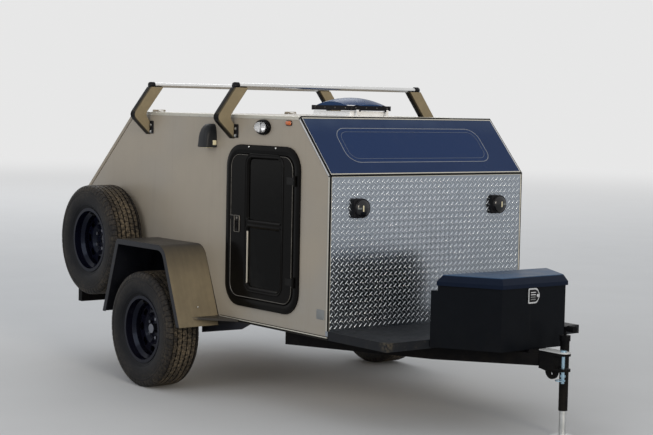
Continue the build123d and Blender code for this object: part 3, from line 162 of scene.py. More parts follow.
class Surface:
    """Gathers the closed skins of one piece, each a stack of rings with equally many points."""

    def __init__(self):
        self.points, self.faces, self.finishes, self.masks, self.count = [], [], [], [], 0

    def skin(self, rings, places=((0, 0, 0),), axes=(X, Y, Z), finish=0, joined=False, mask=0.0):
        """Adds quads between neighbouring rings. The end rings get flat caps, or the last ring joins
        the first. Local (a, b, c) lands at place + a * axes[0] + b * axes[1] + c * axes[2]."""
        rings = np.asarray(rings, float)
        layers, size = rings.shape[:2]
        places = np.asarray(places, float).reshape(-1, 3)
        local = rings.reshape(-1, 3)
        frames = [np.broadcast_to(np.asarray(axis, float), (len(places), 3)) for axis in axes]
        points = places[:, None] + sum(local[None, :, k : k + 1] * frames[k][:, None] for k in range(3))
        rows = np.arange(layers if joined else layers - 1)
        i, j = np.meshgrid(rows, np.arange(size), indexing="ij")
        after, beside = (i + 1) % layers, (j + 1) % size
        quads = np.stack([i * size + j, i * size + beside, after * size + beside, after * size + j], -1)
        groups = [quads.reshape(-1, 4)]
        if not joined:
            groups.append(np.arange(size)[::-1][None])
            groups.append((np.arange(size) + (layers - 1) * size)[None])
        if self.volume(points[0], groups) < 0:
            groups = [group[:, ::-1] for group in groups]
        offsets = self.count + np.arange(len(places)) * len(local)
        for group in groups:
            spread = (group[None] + offsets[:, None, None]).reshape(-1, group.shape[1])
            self.faces.append(spread)
            self.finishes.append(np.full(len(spread), finish))
        masks = np.broadcast_to(np.asarray(mask, float), (layers, size)).reshape(-1)
        self.masks.append(np.tile(masks, len(places)))
        self.points.append(points.reshape(-1, 3))
        self.count += points.shape[0] * points.shape[1]

    def ring(self, outline, profile, place, axes, finish=0):
        """A trim round an outline: each row of the profile is (inward, height)."""
        self.skin(stacked(outline, profile), place, axes, finish, joined=True)

    def block(self, outline, height, place, axes, foot=0.0, soft=0.002, finish=0):
        """A flat-topped block over an outline, its top edge rounded off over the soft distance."""
        inward, down = soft * 0.3, height - soft
        steps = [(0, foot), (0, down), (inward, height - inward), (soft, height)]
        self.skin(stacked(outline, steps), place, axes, finish)

    def turned(self, profile, count, place, axes, finish=0):
        """A shape turned about the third axis: each row of the profile is (radius, height)."""
        self.skin(turned_rings(profile, count), place, axes, finish)

    def bolts(self, places, out, size, kind="hex", finish=0):
        """Bolt heads of one radius looking along out: a washer under a six-sided head, or a low dome."""
        out = unit(out)
        across = unit(np.cross(out, X if abs(out[2]) > 0.9 else Z))
        axes = (across, np.cross(out, across), out)
        if kind == "hex":
            washer = np.array([(1.25, -0.3), (1.25, 0.16), (1.15, 0.24)])
            self.skin(turned_rings(washer * size, 16), places, axes, finish)
            head = np.array([(0, 0.1), (0, 0.8), (0.14, 0.92)])
            self.skin(stacked(circle(size, 6), head * size), places, axes, finish)
        else:
            button = np.array([(1.0, -0.3), (1.0, 0.18), (0.86, 0.42), (0.55, 0.60), (0.15, 0.66)])
            self.skin(turned_rings(button * size, 12), places, axes, finish)

    @staticmethod
    def volume(points, groups):
        """Six times the signed volume: the sum of a . (b x c) over each face cut into a fan."""
        total = 0.0
        for group in groups:
            first = points[group[:, 0]]
            for k in range(1, group.shape[1] - 1):
                cross = np.cross(points[group[:, k]], points[group[:, k + 1]])
                total += float((first * cross).sum())
        return total

    def piece(self, name, body, slot, kinds, stands_for=(), crease=32):
        """Makes the mesh, shades it smooth up to the crease angle, and sets it on its body."""
        points = np.concatenate(self.points)
        sizes = np.concatenate([np.full(len(group), group.shape[1]) for group in self.faces])
        corners = np.concatenate([group.ravel() for group in self.faces])
        mesh = bpy.data.meshes.new(name)
        mesh.vertices.add(len(points))
        mesh.vertices.foreach_set("co", points.astype(np.float32).ravel())
        mesh.loops.add(len(corners))
        mesh.loops.foreach_set("vertex_index", corners.astype(np.int32))
        mesh.polygons.add(len(sizes))
        starts = np.concatenate([[0], np.cumsum(sizes)[:-1]])
        mesh.polygons.foreach_set("loop_start", starts.astype(np.int32))
        mesh.polygons.foreach_set("material_index", np.concatenate(self.finishes).astype(np.int32))
        mesh.update(calc_edges=True)
        mask = mesh.attributes.new("mask", "FLOAT", "POINT")
        mask.data.foreach_set("value", np.concatenate(self.masks).astype(np.float32))
        mesh.shade_smooth()
        mesh.set_sharp_from_angle(angle=radians(crease))
        made = bpy.data.objects.new(name, mesh)
        bpy.context.scene.collection.objects.link(made)
        for kind in kinds:
            mesh.materials.append(material_of(kind))
        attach(made, body)
        if stands_for:
            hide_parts(*stands_for)


class Nodes:
    """Short calls that add shader nodes to one tree. Inputs are numbers, colours of three or sockets."""

    def __init__(self, tree):
        self.tree = tree

    def wire(self, node, inputs):
        """Sets or links each input of a node."""
        for key, value in inputs.items():
            socket = node.inputs[key]
            if isinstance(value, bpy.types.NodeSocket):
                self.tree.links.new(value, socket)
            else:
                socket.default_value = (*value, 1.0) if socket.type == "RGBA" else value
        return node

    def put(self, kind, inputs=None, **settings):
        """A new node, with settings on the node itself and inputs by name or number."""
        made = self.tree.nodes.new(kind)
        for key, value in settings.items():
            setattr(made, key, value)
        return self.wire(made, inputs or {})

    def shader(self, inputs):
        """Sets or links the inputs of the material's own shader."""
        self.wire(self.tree.nodes["Principled BSDF"], inputs)

    def math(self, operation, first, second=0.5, clamp=False):
        inputs = {0: first, 1: second}
        return self.put("ShaderNodeMath", inputs, operation=operation, use_clamp=clamp).outputs[0]

    def times(self, first, second, clamp=False):
        return self.math("MULTIPLY", first, second, clamp)

    def plus(self, first, second, clamp=False):
        return self.math("ADD", first, second, clamp)

    def minus(self, first, second, clamp=False):
        return self.math("SUBTRACT", first, second, clamp)

    def larger(self, first, second, clamp=False):
        return self.math("MAXIMUM", first, second, clamp)

    def place(self):
        return self.put("ShaderNodeTexCoord").outputs["Object"]

    def axis(self, name):
        return self.put("ShaderNodeSeparateXYZ", {0: self.place()}).outputs[name]

    def stretched(self, scale, rotation=(0.0, 0.0, 0.0)):
        inputs = {"Vector": self.place(), "Rotation": rotation, "Scale": scale}
        return self.put("ShaderNodeMapping", inputs).outputs[0]

    def noise(self, vector, scale, detail=3.0, roughness=0.55):
        inputs = {"Vector": vector, "Scale": scale, "Detail": detail, "Roughness": roughness}
        return self.put("ShaderNodeTexNoise", inputs).outputs["Fac"]

    def remap(self, value, start, end, low_end=0.0, high_end=1.0):
        """The value carried from start..end to low_end..high_end, smoothly and clamped."""
        inputs = {"Value": value, "From Min": start, "From Max": end, "To Min": low_end, "To Max": high_end}
        return self.put("ShaderNodeMapRange", inputs, interpolation_type="SMOOTHSTEP").outputs["Result"]

    def mix(self, share, first, second):
        return self.put("ShaderNodeMix", {0: share, 6: first, 7: second}, data_type="RGBA").outputs[2]

    def bump(self, height, depth):
        """The normal of a surface lifted by depth metres where the height is 1."""
        return self.put("ShaderNodeBump", {"Height": height, "Distance": depth, "Strength": 1.0}).outputs[0]

    def effect(self, name, **inputs):
        """One of the shared effects, placed here with its own values."""
        return self.put("ShaderNodeGroup", inputs, node_tree=shared_group(name)).outputs[0]


def patches(n, given):
    """Slow and fast cloudiness added together: the uneven tone that paint and metal pick up."""
    slow = n.noise(n.place(), given["Scale"], 4.0)
    fast = n.noise(n.place(), n.times(given["Scale"], 9.0), 3.0)
    both = n.plus(n.times(slow, 0.68), n.times(fast, 0.32))
    return n.plus(n.times(n.minus(both, 0.5), given["Contrast"]), 0.5, clamp=True)


def even_grain(n, given):
    """Fine even grain, as in sprayed paint, cast metal or moulded plastic, as a height from 0 to 1."""
    return n.noise(n.place(), given["Scale"], 2.0, 0.6)


def road_dust_and_sunlit_front(n, given):
    """Road dust and painted sunlight: dust is full at the ground, gone at the reach and more on faces that
    look up;
     faces that look forward get a painted sunlit tone by the Front amount; all broken by noise."""
    fade = n.minus(1.0, n.math("DIVIDE", n.axis("Z"), given["Reach"]), clamp=True)
    normal = n.put("ShaderNodeNewGeometry").outputs["Normal"]
    facing = n.put("ShaderNodeSeparateXYZ", {0: normal}).outputs
    ledge = n.times(n.larger(facing["Z"], 0.0), given["Ledge"])
    broken = n.remap(n.noise(n.place(), 14.0, 6.0, 0.65), 0.3, 0.75, 0.25, 1.0)
    thin = n.times(n.times(n.larger(fade, ledge), broken), given["Amount"])
    # Painted light: forward-facing faces take the overlay colour as an even painted sunlit tone
    ahead = n.times(n.larger(facing["X"], 0.0), given["Front"])
    even = n.times(ahead, n.remap(broken, 0.2, 1.0, 0.88, 1.0))
    return n.larger(thin, even, clamp=True)


def scratches(n, given):
    """Fine scuffs: noise stretched about thirty times along one way, kept only where it peaks."""
    marks = []
    for turn, stretch in ((0.5, (1.0, 1.0, 0.03)), (1.3, (0.03, 1.0, 1.0))):
        streak = n.noise(n.stretched(stretch, (turn, turn, 0.3)), given["Scale"], 2.0)
        marks.append(n.remap(streak, 0.66, 0.74))
    return n.times(n.larger(*marks), given["Amount"])


EFFECTS = {
    "patches": (patches, {"Scale": 3.0, "Contrast": 1.0}, "Mask"),
    "grain": (even_grain, {"Scale": 400.0}, "Height"),
    "road dust": (road_dust_and_sunlit_front, {"Reach": 0.9, "Amount": 0.5, "Ledge": 0.4, "Front": 0.0}, "Mask"),
    "scratches": (scratches, {"Scale": 60.0, "Amount": 0.4}, "Mask"),
}
GROUPS = {}


def shared_group(name):
    """The node group of an effect, made the first time it is asked for."""
    if name not in GROUPS:
        make, inputs, result = EFFECTS[name]
        group = GROUPS[name] = bpy.data.node_groups.new(name, "ShaderNodeTree")
        for label, value in inputs.items():
            socket = group.interface.new_socket(label, in_out="INPUT", socket_type="NodeSocketFloat")
            socket.default_value = value
        group.interface.new_socket(result, in_out="OUTPUT", socket_type="NodeSocketFloat")
        given = group.nodes.new("NodeGroupInput").outputs
        n = Nodes(group)
        n.put("NodeGroupOutput", {result: make(n, given)})
    return GROUPS[name]


def toned(base, factor):
    """A colour made darker or lighter by a factor."""
    return tuple(min(1.0, value * factor) for value in base)


# Road dust colour, also the painted sunlit tan laid on the forward faces of the fender and rack arms
DUST_AND_SUNLIT_TAN = (0.305, 0.248, 0.155)


def finish(n, base, roughness, metallic=0.0, coat=0.0, coat_roughness=0.08, specular=0.5,
           tint=(1.0, 1.0, 1.0), tone=0.12, patch=3.0, grain=500.0, depth=4e-5, dust=0.3, reach=0.9,
           ledge=0.35, front=0.0, scuffs=None, wear=None, film=DUST_AND_SUNLIT_TAN):
    """Paint, plastic or metal: its colour varies by tone in patches, scuffs and dust lie over it, with real
    wear or painted light
     (a painted sheen, or a painted sunlit tone on forward faces) where asked; roughness follows all of them,
     and fine grain lifts the surface by depth metres."""
    cloud = n.effect("patches", Scale=patch, Contrast=1.6)
    shade = n.mix(cloud, toned(base, 1 - tone), toned(base, 1 + tone))
    rough = n.remap(cloud, 0.2, 0.8, max(0.02, roughness - 0.06), roughness + 0.07)
    if scuffs:
        amount, bare = scuffs
        marks = n.effect("scratches", Scale=45.0, Amount=amount)
        shade = n.mix(marks, shade, bare)
        rough = n.plus(rough, n.times(marks, 0.25))
    if dust:
        # The overlay is dust, plus painted light where asked: a painted sunlit tone on forward faces and a
        # painted sheen passed in as wear
        ahead = front(n) if callable(front) else front
        overlay = n.effect("road dust", Reach=reach, Amount=dust, Ledge=ledge, Front=ahead)
        if wear:
            overlay = n.larger(overlay, wear(n))
        shade = n.mix(overlay, shade, film)
        rough = n.plus(rough, n.times(overlay, 0.4), clamp=True)
        if metallic or coat:
            clean = n.minus(1.0, overlay)
            metallic = metallic and n.times(clean, metallic)
            coat = coat and n.times(clean, coat)
    n.shader({
        "Base Color": shade, "Roughness": rough, "Metallic": metallic, "Coat Weight": coat,
        "Coat Roughness": coat_roughness, "Specular IOR Level": specular, "Specular Tint": tint,
        "Normal": n.bump(n.effect("grain", Scale=grain), depth),
    })


def glass(n, base, roughness=0.03, transmission=0.75, specular=0.2, gain=1.0):
    """Tinted glazing: clear where clean, with a faint dusty haze in patches."""
    cloud = n.effect("patches", Scale=2.2, Contrast=1.5)
    n.shader({
        "Base Color": n.mix(n.remap(cloud, 0.45, 0.9, 0.0, 0.06), toned(base, gain), (0.35, 0.33, 0.30)),
        "Roughness": n.remap(cloud, 0.3, 0.9, roughness, roughness + 0.09),
        "Transmission Weight": transmission, "Specular IOR Level": specular, "IOR": 1.2,
    })


def rubber(n):
    """Tyre rubber: dark and dry, with brown dust held where the mask says it is, most on the tread."""
    cloud = n.effect("patches", Scale=7.0, Contrast=1.8)
    speckle = n.remap(n.noise(n.place(), 55.0, 6.0, 0.7), 0.42, 0.62, 0.50, 1.75)
    held = n.times(speckle, n.remap(cloud, 0.25, 0.75, 0.30, 1.05))
    mask = n.put("ShaderNodeAttribute", attribute_name="mask").outputs["Fac"]
    dirty = n.times(mask, held, clamp=True)
    base = n.mix(cloud, (0.0045, 0.0050, 0.0068), (0.0105, 0.0112, 0.0138))
    n.shader({
        "Base Color": n.mix(dirty, base, (0.17, 0.135, 0.09)),
        "Roughness": n.remap(dirty, 0.0, 1.0, 0.55, 0.95), "Specular IOR Level": 0.15,
        "Normal": n.bump(n.noise(n.place(), 900.0, 2.0), 15e-5),
    })


def inner_and_outer(n, limit, inner, outer):
    """Two finishes on one node, each (colour, roughness, metallic): inner below the limit of |y|, outer
    above it."""
    share = n.remap(n.math("ABSOLUTE", n.axis("Y")), limit - 0.0006, limit + 0.0006)
    cloud = n.effect("patches", Scale=8.0, Contrast=1.6)
    shades = [n.mix(cloud, toned(base, 0.82), toned(base, 1.15)) for base in (inner[0], outer[0])]
    rough = n.remap(share, 0.0, 1.0, inner[1], outer[1])
    n.shader({
        "Base Color": n.mix(share, *shades),
        "Roughness": n.plus(rough, n.remap(cloud, 0.2, 0.8, -0.04, 0.06)),
        "Metallic": n.remap(share, 0.0, 1.0, inner[2], outer[2]),
        "Normal": n.bump(n.effect("grain", Scale=350.0), 8e-5),
    })


def cabin_side(n, paint):
    """Cabin walls: satin taupe outside the wall's inner face, pale sealed board inside it."""
    outside = n.remap(n.math("ABSOLUTE", n.axis("Y")), HALF - 0.024, HALF - 0.0235)
    cloud = n.effect("patches", Scale=1.1, Contrast=1.5)
    shade = n.mix(cloud, toned(paint, 0.90), toned(paint, 1.08))
    slow = n.remap(n.noise(n.place(), 0.9, 2.0), 0.42, 0.62)
    shade = n.mix(n.times(slow, 0.30), shade, (0.25, 0.27, 0.285))
    runs = n.remap(n.noise(n.stretched((9.0, 9.0, 0.5)), 2.6, 5.0, 0.6), 0.52, 0.72, 0.0, 0.16)
    shade = n.mix(runs, shade, toned(paint, 0.72))
    overlay = n.effect("road dust", Reach=0.86, Amount=0.5, Ledge=0.12)
    inner = n.mix(cloud, (0.42, 0.31, 0.19), (0.52, 0.40, 0.26))
    n.shader({
        "Base Color": n.mix(outside, inner, n.mix(overlay, shade, DUST_AND_SUNLIT_TAN)),
        "Roughness": n.plus(n.remap(cloud, 0.2, 0.8, 0.33, 0.43), n.times(overlay, 0.4)),
        "Normal": n.bump(n.effect("grain", Scale=240.0), 5e-5),
    })


def board(n):
    """Sealed plywood: long wavy figure along the trailer, with fine pores."""
    figure = n.noise(n.stretched((0.5, 9.0, 9.0)), 3.0, 5.0, 0.6)
    pores = n.noise(n.stretched((6.0, 160.0, 160.0)), 4.0)
    shade = n.mix(n.remap(figure, 0.3, 0.7), (0.36, 0.25, 0.14), (0.52, 0.39, 0.25))
    n.shader({
        "Base Color": n.mix(n.remap(pores, 0.55, 0.75, 0.0, 0.35), shade, (0.22, 0.14, 0.08)),
        "Roughness": n.remap(figure, 0.3, 0.7, 0.42, 0.58), "Normal": n.bump(pores, 1e-4),
    })


def lens(n, base, transmission):
    """A moulded lens: coloured plastic with vertical flutes a few millimetres apart."""
    cloud = n.effect("patches", Scale=30.0, Contrast=1.4)
    flutes = n.put("ShaderNodeTexWave", {"Vector": n.place(), "Scale": 32.0}, bands_direction="X")
    n.shader({
        "Base Color": n.mix(cloud, toned(base, 0.8), toned(base, 1.15)),
        "Roughness": n.remap(cloud, 0.2, 0.8, 0.08, 0.2), "Transmission Weight": transmission,
        "Coat Weight": 0.5, "Normal": n.bump(flutes.outputs["Fac"], 4e-4),
    })


def pale_floor(n):
    """A pale matt floor that fades into the world's tone from 7 to 40 m away."""
    n.shader({
        "Base Color": n.mix(n.noise(n.place(), 1.3, 5.0), (0.60, 0.60, 0.595), (0.65, 0.65, 0.645)),
        "Roughness": 0.9, "Specular IOR Level": 0.2,
    })
    far = n.put("ShaderNodeVectorMath", {0: n.place()}, operation="LENGTH").outputs["Value"]
    near = n.tree.nodes["Principled BSDF"].outputs[0]
    glow = n.put("ShaderNodeEmission", {"Color": (0.80, 0.80, 0.80), "Strength": 1.0}).outputs[0]
    mixed = n.put("ShaderNodeMixShader", {0: n.remap(far, 7.0, 40.0), 1: near, 2: glow})
    n.wire(n.tree.nodes["Material Output"], {"Surface": mixed.outputs[0]})


def fender_dust_and_sunlight(n):
    """Dust and painted low sunlight on the fender's outer front face, with painted upright highlight streaks,
    and less near the bend: none
     on its rear leg, little on the step."""
    top = high("fender_right")[2]
    ahead = n.remap(n.axis("X"), -0.62, -0.45, 0.0, 0.72)
    ahead = n.times(ahead, n.remap(n.axis("X"), -0.212, -0.196, 1.0, 0.25))
    thinner = n.times(ahead, n.remap(n.axis("Z"), top - 0.24, top - 0.03, 1.0, 0.5))
    return n.times(thinner, n.remap(n.noise(n.stretched((1.0, 18.0, 1.0)), 2.0), 0.35, 0.65, 0.93, 1.04))


def painted_sheen(start, end, least, most, scale, weakest):
    """A painted pale-blue sheen standing in for reflected light: it grows with height from start to end,
    broken in slow patches.
    """

    def build(n):
        rise = n.remap(n.axis("Z"), start, end, least, most)
        return n.times(rise, n.remap(n.noise(n.place(), scale, 2.0), 0.35, 0.65, weakest, 1.2))

    return build


def deck_wear(n):
    """A bare brown worn patch on the deck, at its front right corner and gone 0.08 m away."""
    corner = (high("front_deck")[0], low("front_deck")[1], DECK)
    away = n.put("ShaderNodeVectorMath", {0: n.place(), 1: corner}, operation="DISTANCE").outputs["Value"]
    return n.times(n.remap(away, 0.02, 0.08, 0.22, 0.0), n.remap(n.noise(n.place(), 60.0), 0.35, 0.6))


# Values that several finishes share
TREAD_METAL = dict(metallic=1.0, patch=1.6, grain=300.0, reach=1.0, ledge=0.1)
PLATED = dict(metallic=1.0, tone=0.16, patch=22.0, grain=600.0)
TRIM_METAL = dict(patch=5.0, grain=700.0, dust=0.05)
SEAL_LINE = dict(tone=0.1, patch=8.0, grain=900.0, dust=0.04)
MOULDED = dict(grain=700.0, depth=8e-5, dust=0.03, ledge=0.2)
BOX = dict(patch=2.5, grain=420.0, depth=1e-4)
# Every finish: its maker, its colour (or the colour setting it takes), further values and settings
FINISHES = {
    "pale floor": (pale_floor, {}),
    "side paint": (cabin_side, "side_colour", {}),
    "skin paint": (finish, "side_colour", 0.38, dict(
        tone=0.08, patch=1.1, grain=240.0, depth=5e-5, dust=0.22)),
    # The navy slope turns pale blue-grey toward the roof: a painted sheen standing in for reflected light
    "navy paint": (finish, "slope_colour", 0.24, dict(
        coat=0.03, coat_roughness=0.05, specular=0.06, tone=0.10, patch=1.2, grain=260.0, depth=3e-5,
        dust=0.05, ledge=0.12, wear=painted_sheen(ROOF - 0.11, ROOF - 0.015, 0.02, 0.215, 2.4, 0.5),
        film=(0.13, 0.17, 0.22))),
    "bright plate": (finish, (0.335, 0.370, 0.415), 0.20, dict(
        TREAD_METAL, tone=0.10, dust=0.12, scuffs=(0.2, (0.36, 0.36, 0.37)))),
    "bar metal": (finish, (0.66, 0.70, 0.74), 0.22, dict(TREAD_METAL, tone=0.08, dust=0.10)),
    "frame paint": (finish, (0.0022, 0.0026, 0.0040), 0.45, dict(
        specular=0.05, tone=0.25, patch=5.0, grain=420.0, depth=12e-5, dust=0.05, reach=0.8,
        scuffs=(0.15, (0.03, 0.026, 0.022)))),
    "deck paint": (finish, (0.007, 0.009, 0.013), 0.5, dict(
        specular=0.16, tone=0.22, patch=4.0, grain=260.0, depth=35e-5, dust=0.05, ledge=0.12,
        scuffs=(0.3, (0.065, 0.055, 0.045)), wear=deck_wear)),
    # Fender paint: its outer front face is turned tan by painted sunlight as well as dust, in painted upright
    # highlight streaks
    "fender paint": (finish, (0.0105, 0.0115, 0.016), 0.36, dict(
        specular=0.2, coat=0.08, coat_roughness=0.3, tone=0.18, grain=340.0, depth=1e-4, dust=0.2, reach=0.45,
        ledge=0.62, front=fender_dust_and_sunlight, scuffs=(0.3, (0.05, 0.045, 0.04)))),
    "black gloss": (finish, (0.0035, 0.0032, 0.0030), 0.13, dict(
        specular=0.065, tone=0.3, grain=300.0, depth=3e-5, dust=0.02, ledge=0.10)),
    "black moulding": (finish, (0.006, 0.006, 0.008), 0.36, dict(MOULDED, specular=0.14, tone=0.25)),
    # Arm paint: front=0.92 paints the arms' forward faces an even sunlit tan, which is painted light, not
    # dust
    "arm paint": (finish, (0.004, 0.004, 0.0045), 0.36, dict(
        specular=0.05, tone=0.25, depth=8e-5, dust=0.03, reach=0.5, ledge=0.2, front=0.92,
        scuffs=(0.2, (0.10, 0.085, 0.07)))),
    "box paint": (finish, (0.0036, 0.0046, 0.0066), 0.36, dict(
        BOX, specular=0.062, tone=0.25, dust=0.015, reach=0.8, ledge=0.10,
        scuffs=(0.12, (0.02, 0.02, 0.022)))),
    # Lid paint: the blue specular tint and the pale blue sheen on its flat top are painted reflection
    "lid paint": (finish, (0.0028, 0.0050, 0.0150), 0.30, dict(
        BOX, specular=0.13, tint=(0.52, 0.76, 1.0), coat=0.05, coat_roughness=0.2, tone=0.2, dust=0.03,
        ledge=0.2, wear=painted_sheen(LID - 0.006, LID - 0.001, 0.0, 0.31, 5.0, 0.7), film=(0.115, 0.22, 0.39))),
    # Rim paint: the blue specular tint, with the bluish base, is painted reflection that makes the rim's
    # highlights blue
    "rim paint": (finish, (0.0025, 0.0030, 0.0085), 0.17, dict(
        specular=0.17, coat=0.05, tint=(0.62, 0.74, 1.0), tone=0.3, patch=8.0, grain=300.0, depth=6e-5,
        dust=0.02, reach=1.0)),
    "lamp gloss": (finish, (0.006, 0.0065, 0.0080), 0.14, dict(
        specular=0.34, coat=0.25, coat_roughness=0.06, tone=0.4, patch=18.0, grain=300.0, depth=2e-5,
        dust=0.02)),
    # Grey of a painted glint: the level glint bar on the front lamps' domes
    "lamp bar": (finish, (0.15, 0.165, 0.16), 0.30, dict(
        specular=0.4, tone=0.5, patch=30.0, grain=300.0, depth=2e-5, dust=0.05)),
    "hood plastic": (finish, (0.016, 0.0175, 0.020), 0.42, dict(MOULDED, specular=0.2, tone=0.2)),
    "zinc": (finish, (0.62, 0.64, 0.64), 0.34, dict(
        PLATED, depth=6e-5, dust=0.14, scuffs=(0.3, (0.40, 0.40, 0.40)))),
    "blue zinc": (finish, (0.34, 0.50, 0.62), 0.28, dict(PLATED, depth=5e-5, dust=0.08)),
    "nose metal": (finish, (0.62, 0.63, 0.63), 0.5, dict(
        metallic=0.6, patch=14.0, depth=1e-4, dust=0.10, scuffs=(0.4, (0.30, 0.30, 0.30)))),
    "brushed aluminium": (finish, (0.76, 0.76, 0.755), 0.28, dict(
        TRIM_METAL, metallic=1.0, tone=0.08, scuffs=(0.3, (0.5, 0.5, 0.5)))),
    "trim metal": (finish, (0.60, 0.575, 0.50), 0.36, dict(TRIM_METAL, metallic=0.4, tone=0.06)),
    "edge metal": (finish, (0.13, 0.12, 0.105), 0.3, dict(
        metallic=0.5, tone=0.7, patch=9.0, grain=700.0, dust=0.05)),
    "bolt steel": (finish, (0.46, 0.46, 0.45), 0.30, dict(
        metallic=1.0, tone=0.15, patch=40.0, grain=800.0, dust=0.12)),
    "polished": (finish, (0.80, 0.80, 0.79), 0.14, dict(
        metallic=1.0, tone=0.06, patch=12.0, grain=300.0, depth=2e-5, dust=0.04,
        scuffs=(0.2, (0.5, 0.5, 0.5)))),
    "plate grey": (finish, (0.20, 0.21, 0.21), 0.42, dict(specular=0.3, patch=20.0, dust=0.10)),
    "white plastic": (finish, (0.95, 0.95, 0.94), 0.45, dict(
        tone=0.03, grain=600.0, depth=6e-5, dust=0.02, ledge=0.1)),
    "dome plastic": (finish, (0.026, 0.060, 0.150), 0.30, dict(
        specular=0.05, coat=0.01, coat_roughness=0.12, tone=0.15, patch=2.5, grain=120.0, dust=0.05,
        ledge=0.2)),
    "seal rubber": (finish, (0.006, 0.006, 0.006), 0.5, dict(
        specular=0.12, tone=0.25, patch=14.0, grain=900.0, depth=8e-5, dust=0.06, ledge=0.15)),
    "seal grey": (finish, (0.24, 0.26, 0.30), 0.4, SEAL_LINE),
    "slope line": (finish, (0.06, 0.085, 0.15), 0.4, SEAL_LINE),
    "lamp mirror": (finish, (0.86, 0.86, 0.86), 0.16, dict(
        metallic=1.0, dust=0.0, patch=20.0, grain=90.0, depth=1e-4)),
    "board": (board, {}),
    "smoked glass": (glass, (0.0020, 0.0017, 0.0010), dict(specular=0.06)),
    "slope glass": (glass, "slope_colour", 0.05, 0.25, dict(gain=1.55)),
    "clear cover": (glass, (0.9, 0.9, 0.9), 0.02, 0.95, {}),
    "tyre rubber": (rubber, {}),
    "hub metal": (inner_and_outer, high("hub_left")[1] - 0.0425, ((0.012, 0.011, 0.011), 0.6, 0.6),
                  ((0.20, 0.21, 0.24), 0.26, 1.0), {}),
    "spare nuts": (inner_and_outer, high("spare_rim")[1], ((0.006, 0.006, 0.007), 0.45, 0.0),
                   ((0.17, 0.175, 0.20), 0.28, 1.0), {}),
    "amber lens": (lens, (0.75, 0.16, 0.02), 0.25, {}),
    "red lens": (lens, (0.42, 0.012, 0.012), 0.25, {}),
    "cream lens": (lens, (0.86, 0.78, 0.52), 0.1, {}),
}
MATERIALS = {}


def material_of(name):
    """The finish of that name, made the first time it is asked for."""
    if name not in MATERIALS:
        material = MATERIALS[name] = bpy.data.materials.new(name)
        material.use_nodes = True
        make, *values, settings = FINISHES[name]
        if values and isinstance(values[0], str):
            values[0] = tuple(getattr(bpy.context.scene.trailer_paint, values[0]))
        make(Nodes(material.node_tree), *values, **settings)
    return MATERIALS[name]


NODE_FINISHES = {
    "side paint": ["side_wall_right", "side_wall_left"],
    "skin paint": ["roof", "rear_hatch"],
    "navy paint": ["front_slope"],
    "bright plate": ["front_wall", "rear_wall"],
    "frame paint": [
        "chassis_frame", "tongue_frame", "rear_bumper", "axle", "jack_bracket", "jack_tube", "coupler",
    ],
    "deck paint": ["front_deck"],
    "fender paint": ["fender_right", "fender_left"],
    "black gloss": ["door_frame_right", "door_frame_left", "door_right", "door_left"],
    "black moulding": ["vent_lid", "front_lamps", "wall_lamps"],
    "arm paint": ["rack_arms"],
    "box paint": ["tongue_box"],
    "lid paint": ["box_lid"],
    "rim paint": ["rim_right", "rim_left", "spare_rim"],
    "zinc": ["jack_leg"],
    "blue zinc": ["hitch_pin"],
    "nose metal": ["nose_plate"],
    "brushed aluminium": ["rack_bars"],
    "polished": ["box_latch"],
    "white plastic": ["vent_base"],
    "dome plastic": ["vent_dome"],
    "board": ["floor", "galley_bulkhead"],
    "smoked glass": ["door_glass_right", "door_glass_left"],
    "slope glass": ["front_window"],
    "tyre rubber": ["tyre_right", "tyre_left", "spare_tyre"],
    "hub metal": ["hub_right", "hub_left"],
    "spare nuts": ["spare_carrier"],
    "cream lens": ["porch_lamps"],
    "red lens": ["tail_lamps"],
}


class TrailerPaint(bpy.types.PropertyGroup):
    """Colours that change the trailer's look most."""

    side_colour: bpy.props.FloatVectorProperty(
        name="Side colour", description="Satin paint on the cabin's sides", subtype="COLOR",
        default=(0.356, 0.309, 0.244), min=0, max=1,
    )
    slope_colour: bpy.props.FloatVectorProperty(
        name="Slope colour", description="Gloss paint on the front slope", subtype="COLOR",
        default=(0.0145, 0.0315, 0.090), min=0, max=1,
    )


class TrailerSizes(bpy.types.PropertyGroup):
    """Sizes of the fitted pieces."""

    trim_leg: bpy.props.FloatProperty(
        name="Trim leg", description="Width of the edge trims' legs on the walls", default=0.019,
        unit="LENGTH",
    )
    trim_inner: bpy.props.FloatProperty(
        name="Inner leg", description="Width of the trims' legs on the front, slope and roof", default=0.010,
        unit="LENGTH",
    )
    trim_sheet: bpy.props.FloatProperty(
        name="Trim sheet", description="Thickness of the edge trims", default=0.003, unit="LENGTH",
    )
    bar_pitch: bpy.props.FloatProperty(
        name="Bar pitch", description="Repeat of the tread plate's bars", default=0.0368, unit="LENGTH",
    )
    tread_pitches: bpy.props.IntProperty(
        name="Tread pitches", description="Repeats of the tread round a tyre", default=62, min=20,
    )
    tread_depth: bpy.props.FloatProperty(
        name="Tread depth", description="Depth of the tread's grooves", default=0.011, unit="LENGTH",
    )


class TrailerView(bpy.types.PropertyGroup):
    """Where the picture is taken from."""

    place: bpy.props.FloatVectorProperty(
        name="Place", description="The camera's place", subtype="TRANSLATION",
        default=(8.1008, -6.3505, 1.8449),
    )
    yaw: bpy.props.FloatProperty(
        name="Yaw", description="Heading from +X", subtype="ANGLE", default=2.4836,
    )
    pitch: bpy.props.FloatProperty(
        name="Pitch", description="Tilt above level", subtype="ANGLE", default=-0.0711,
    )
    roll: bpy.props.FloatProperty(
        name="Roll", description="Turn about the view", subtype="ANGLE", default=0.02,
    )
    lens: bpy.props.FloatProperty(
        name="Lens", description="Focal length in mm on a 36 mm sensor", default=87.78,
    )


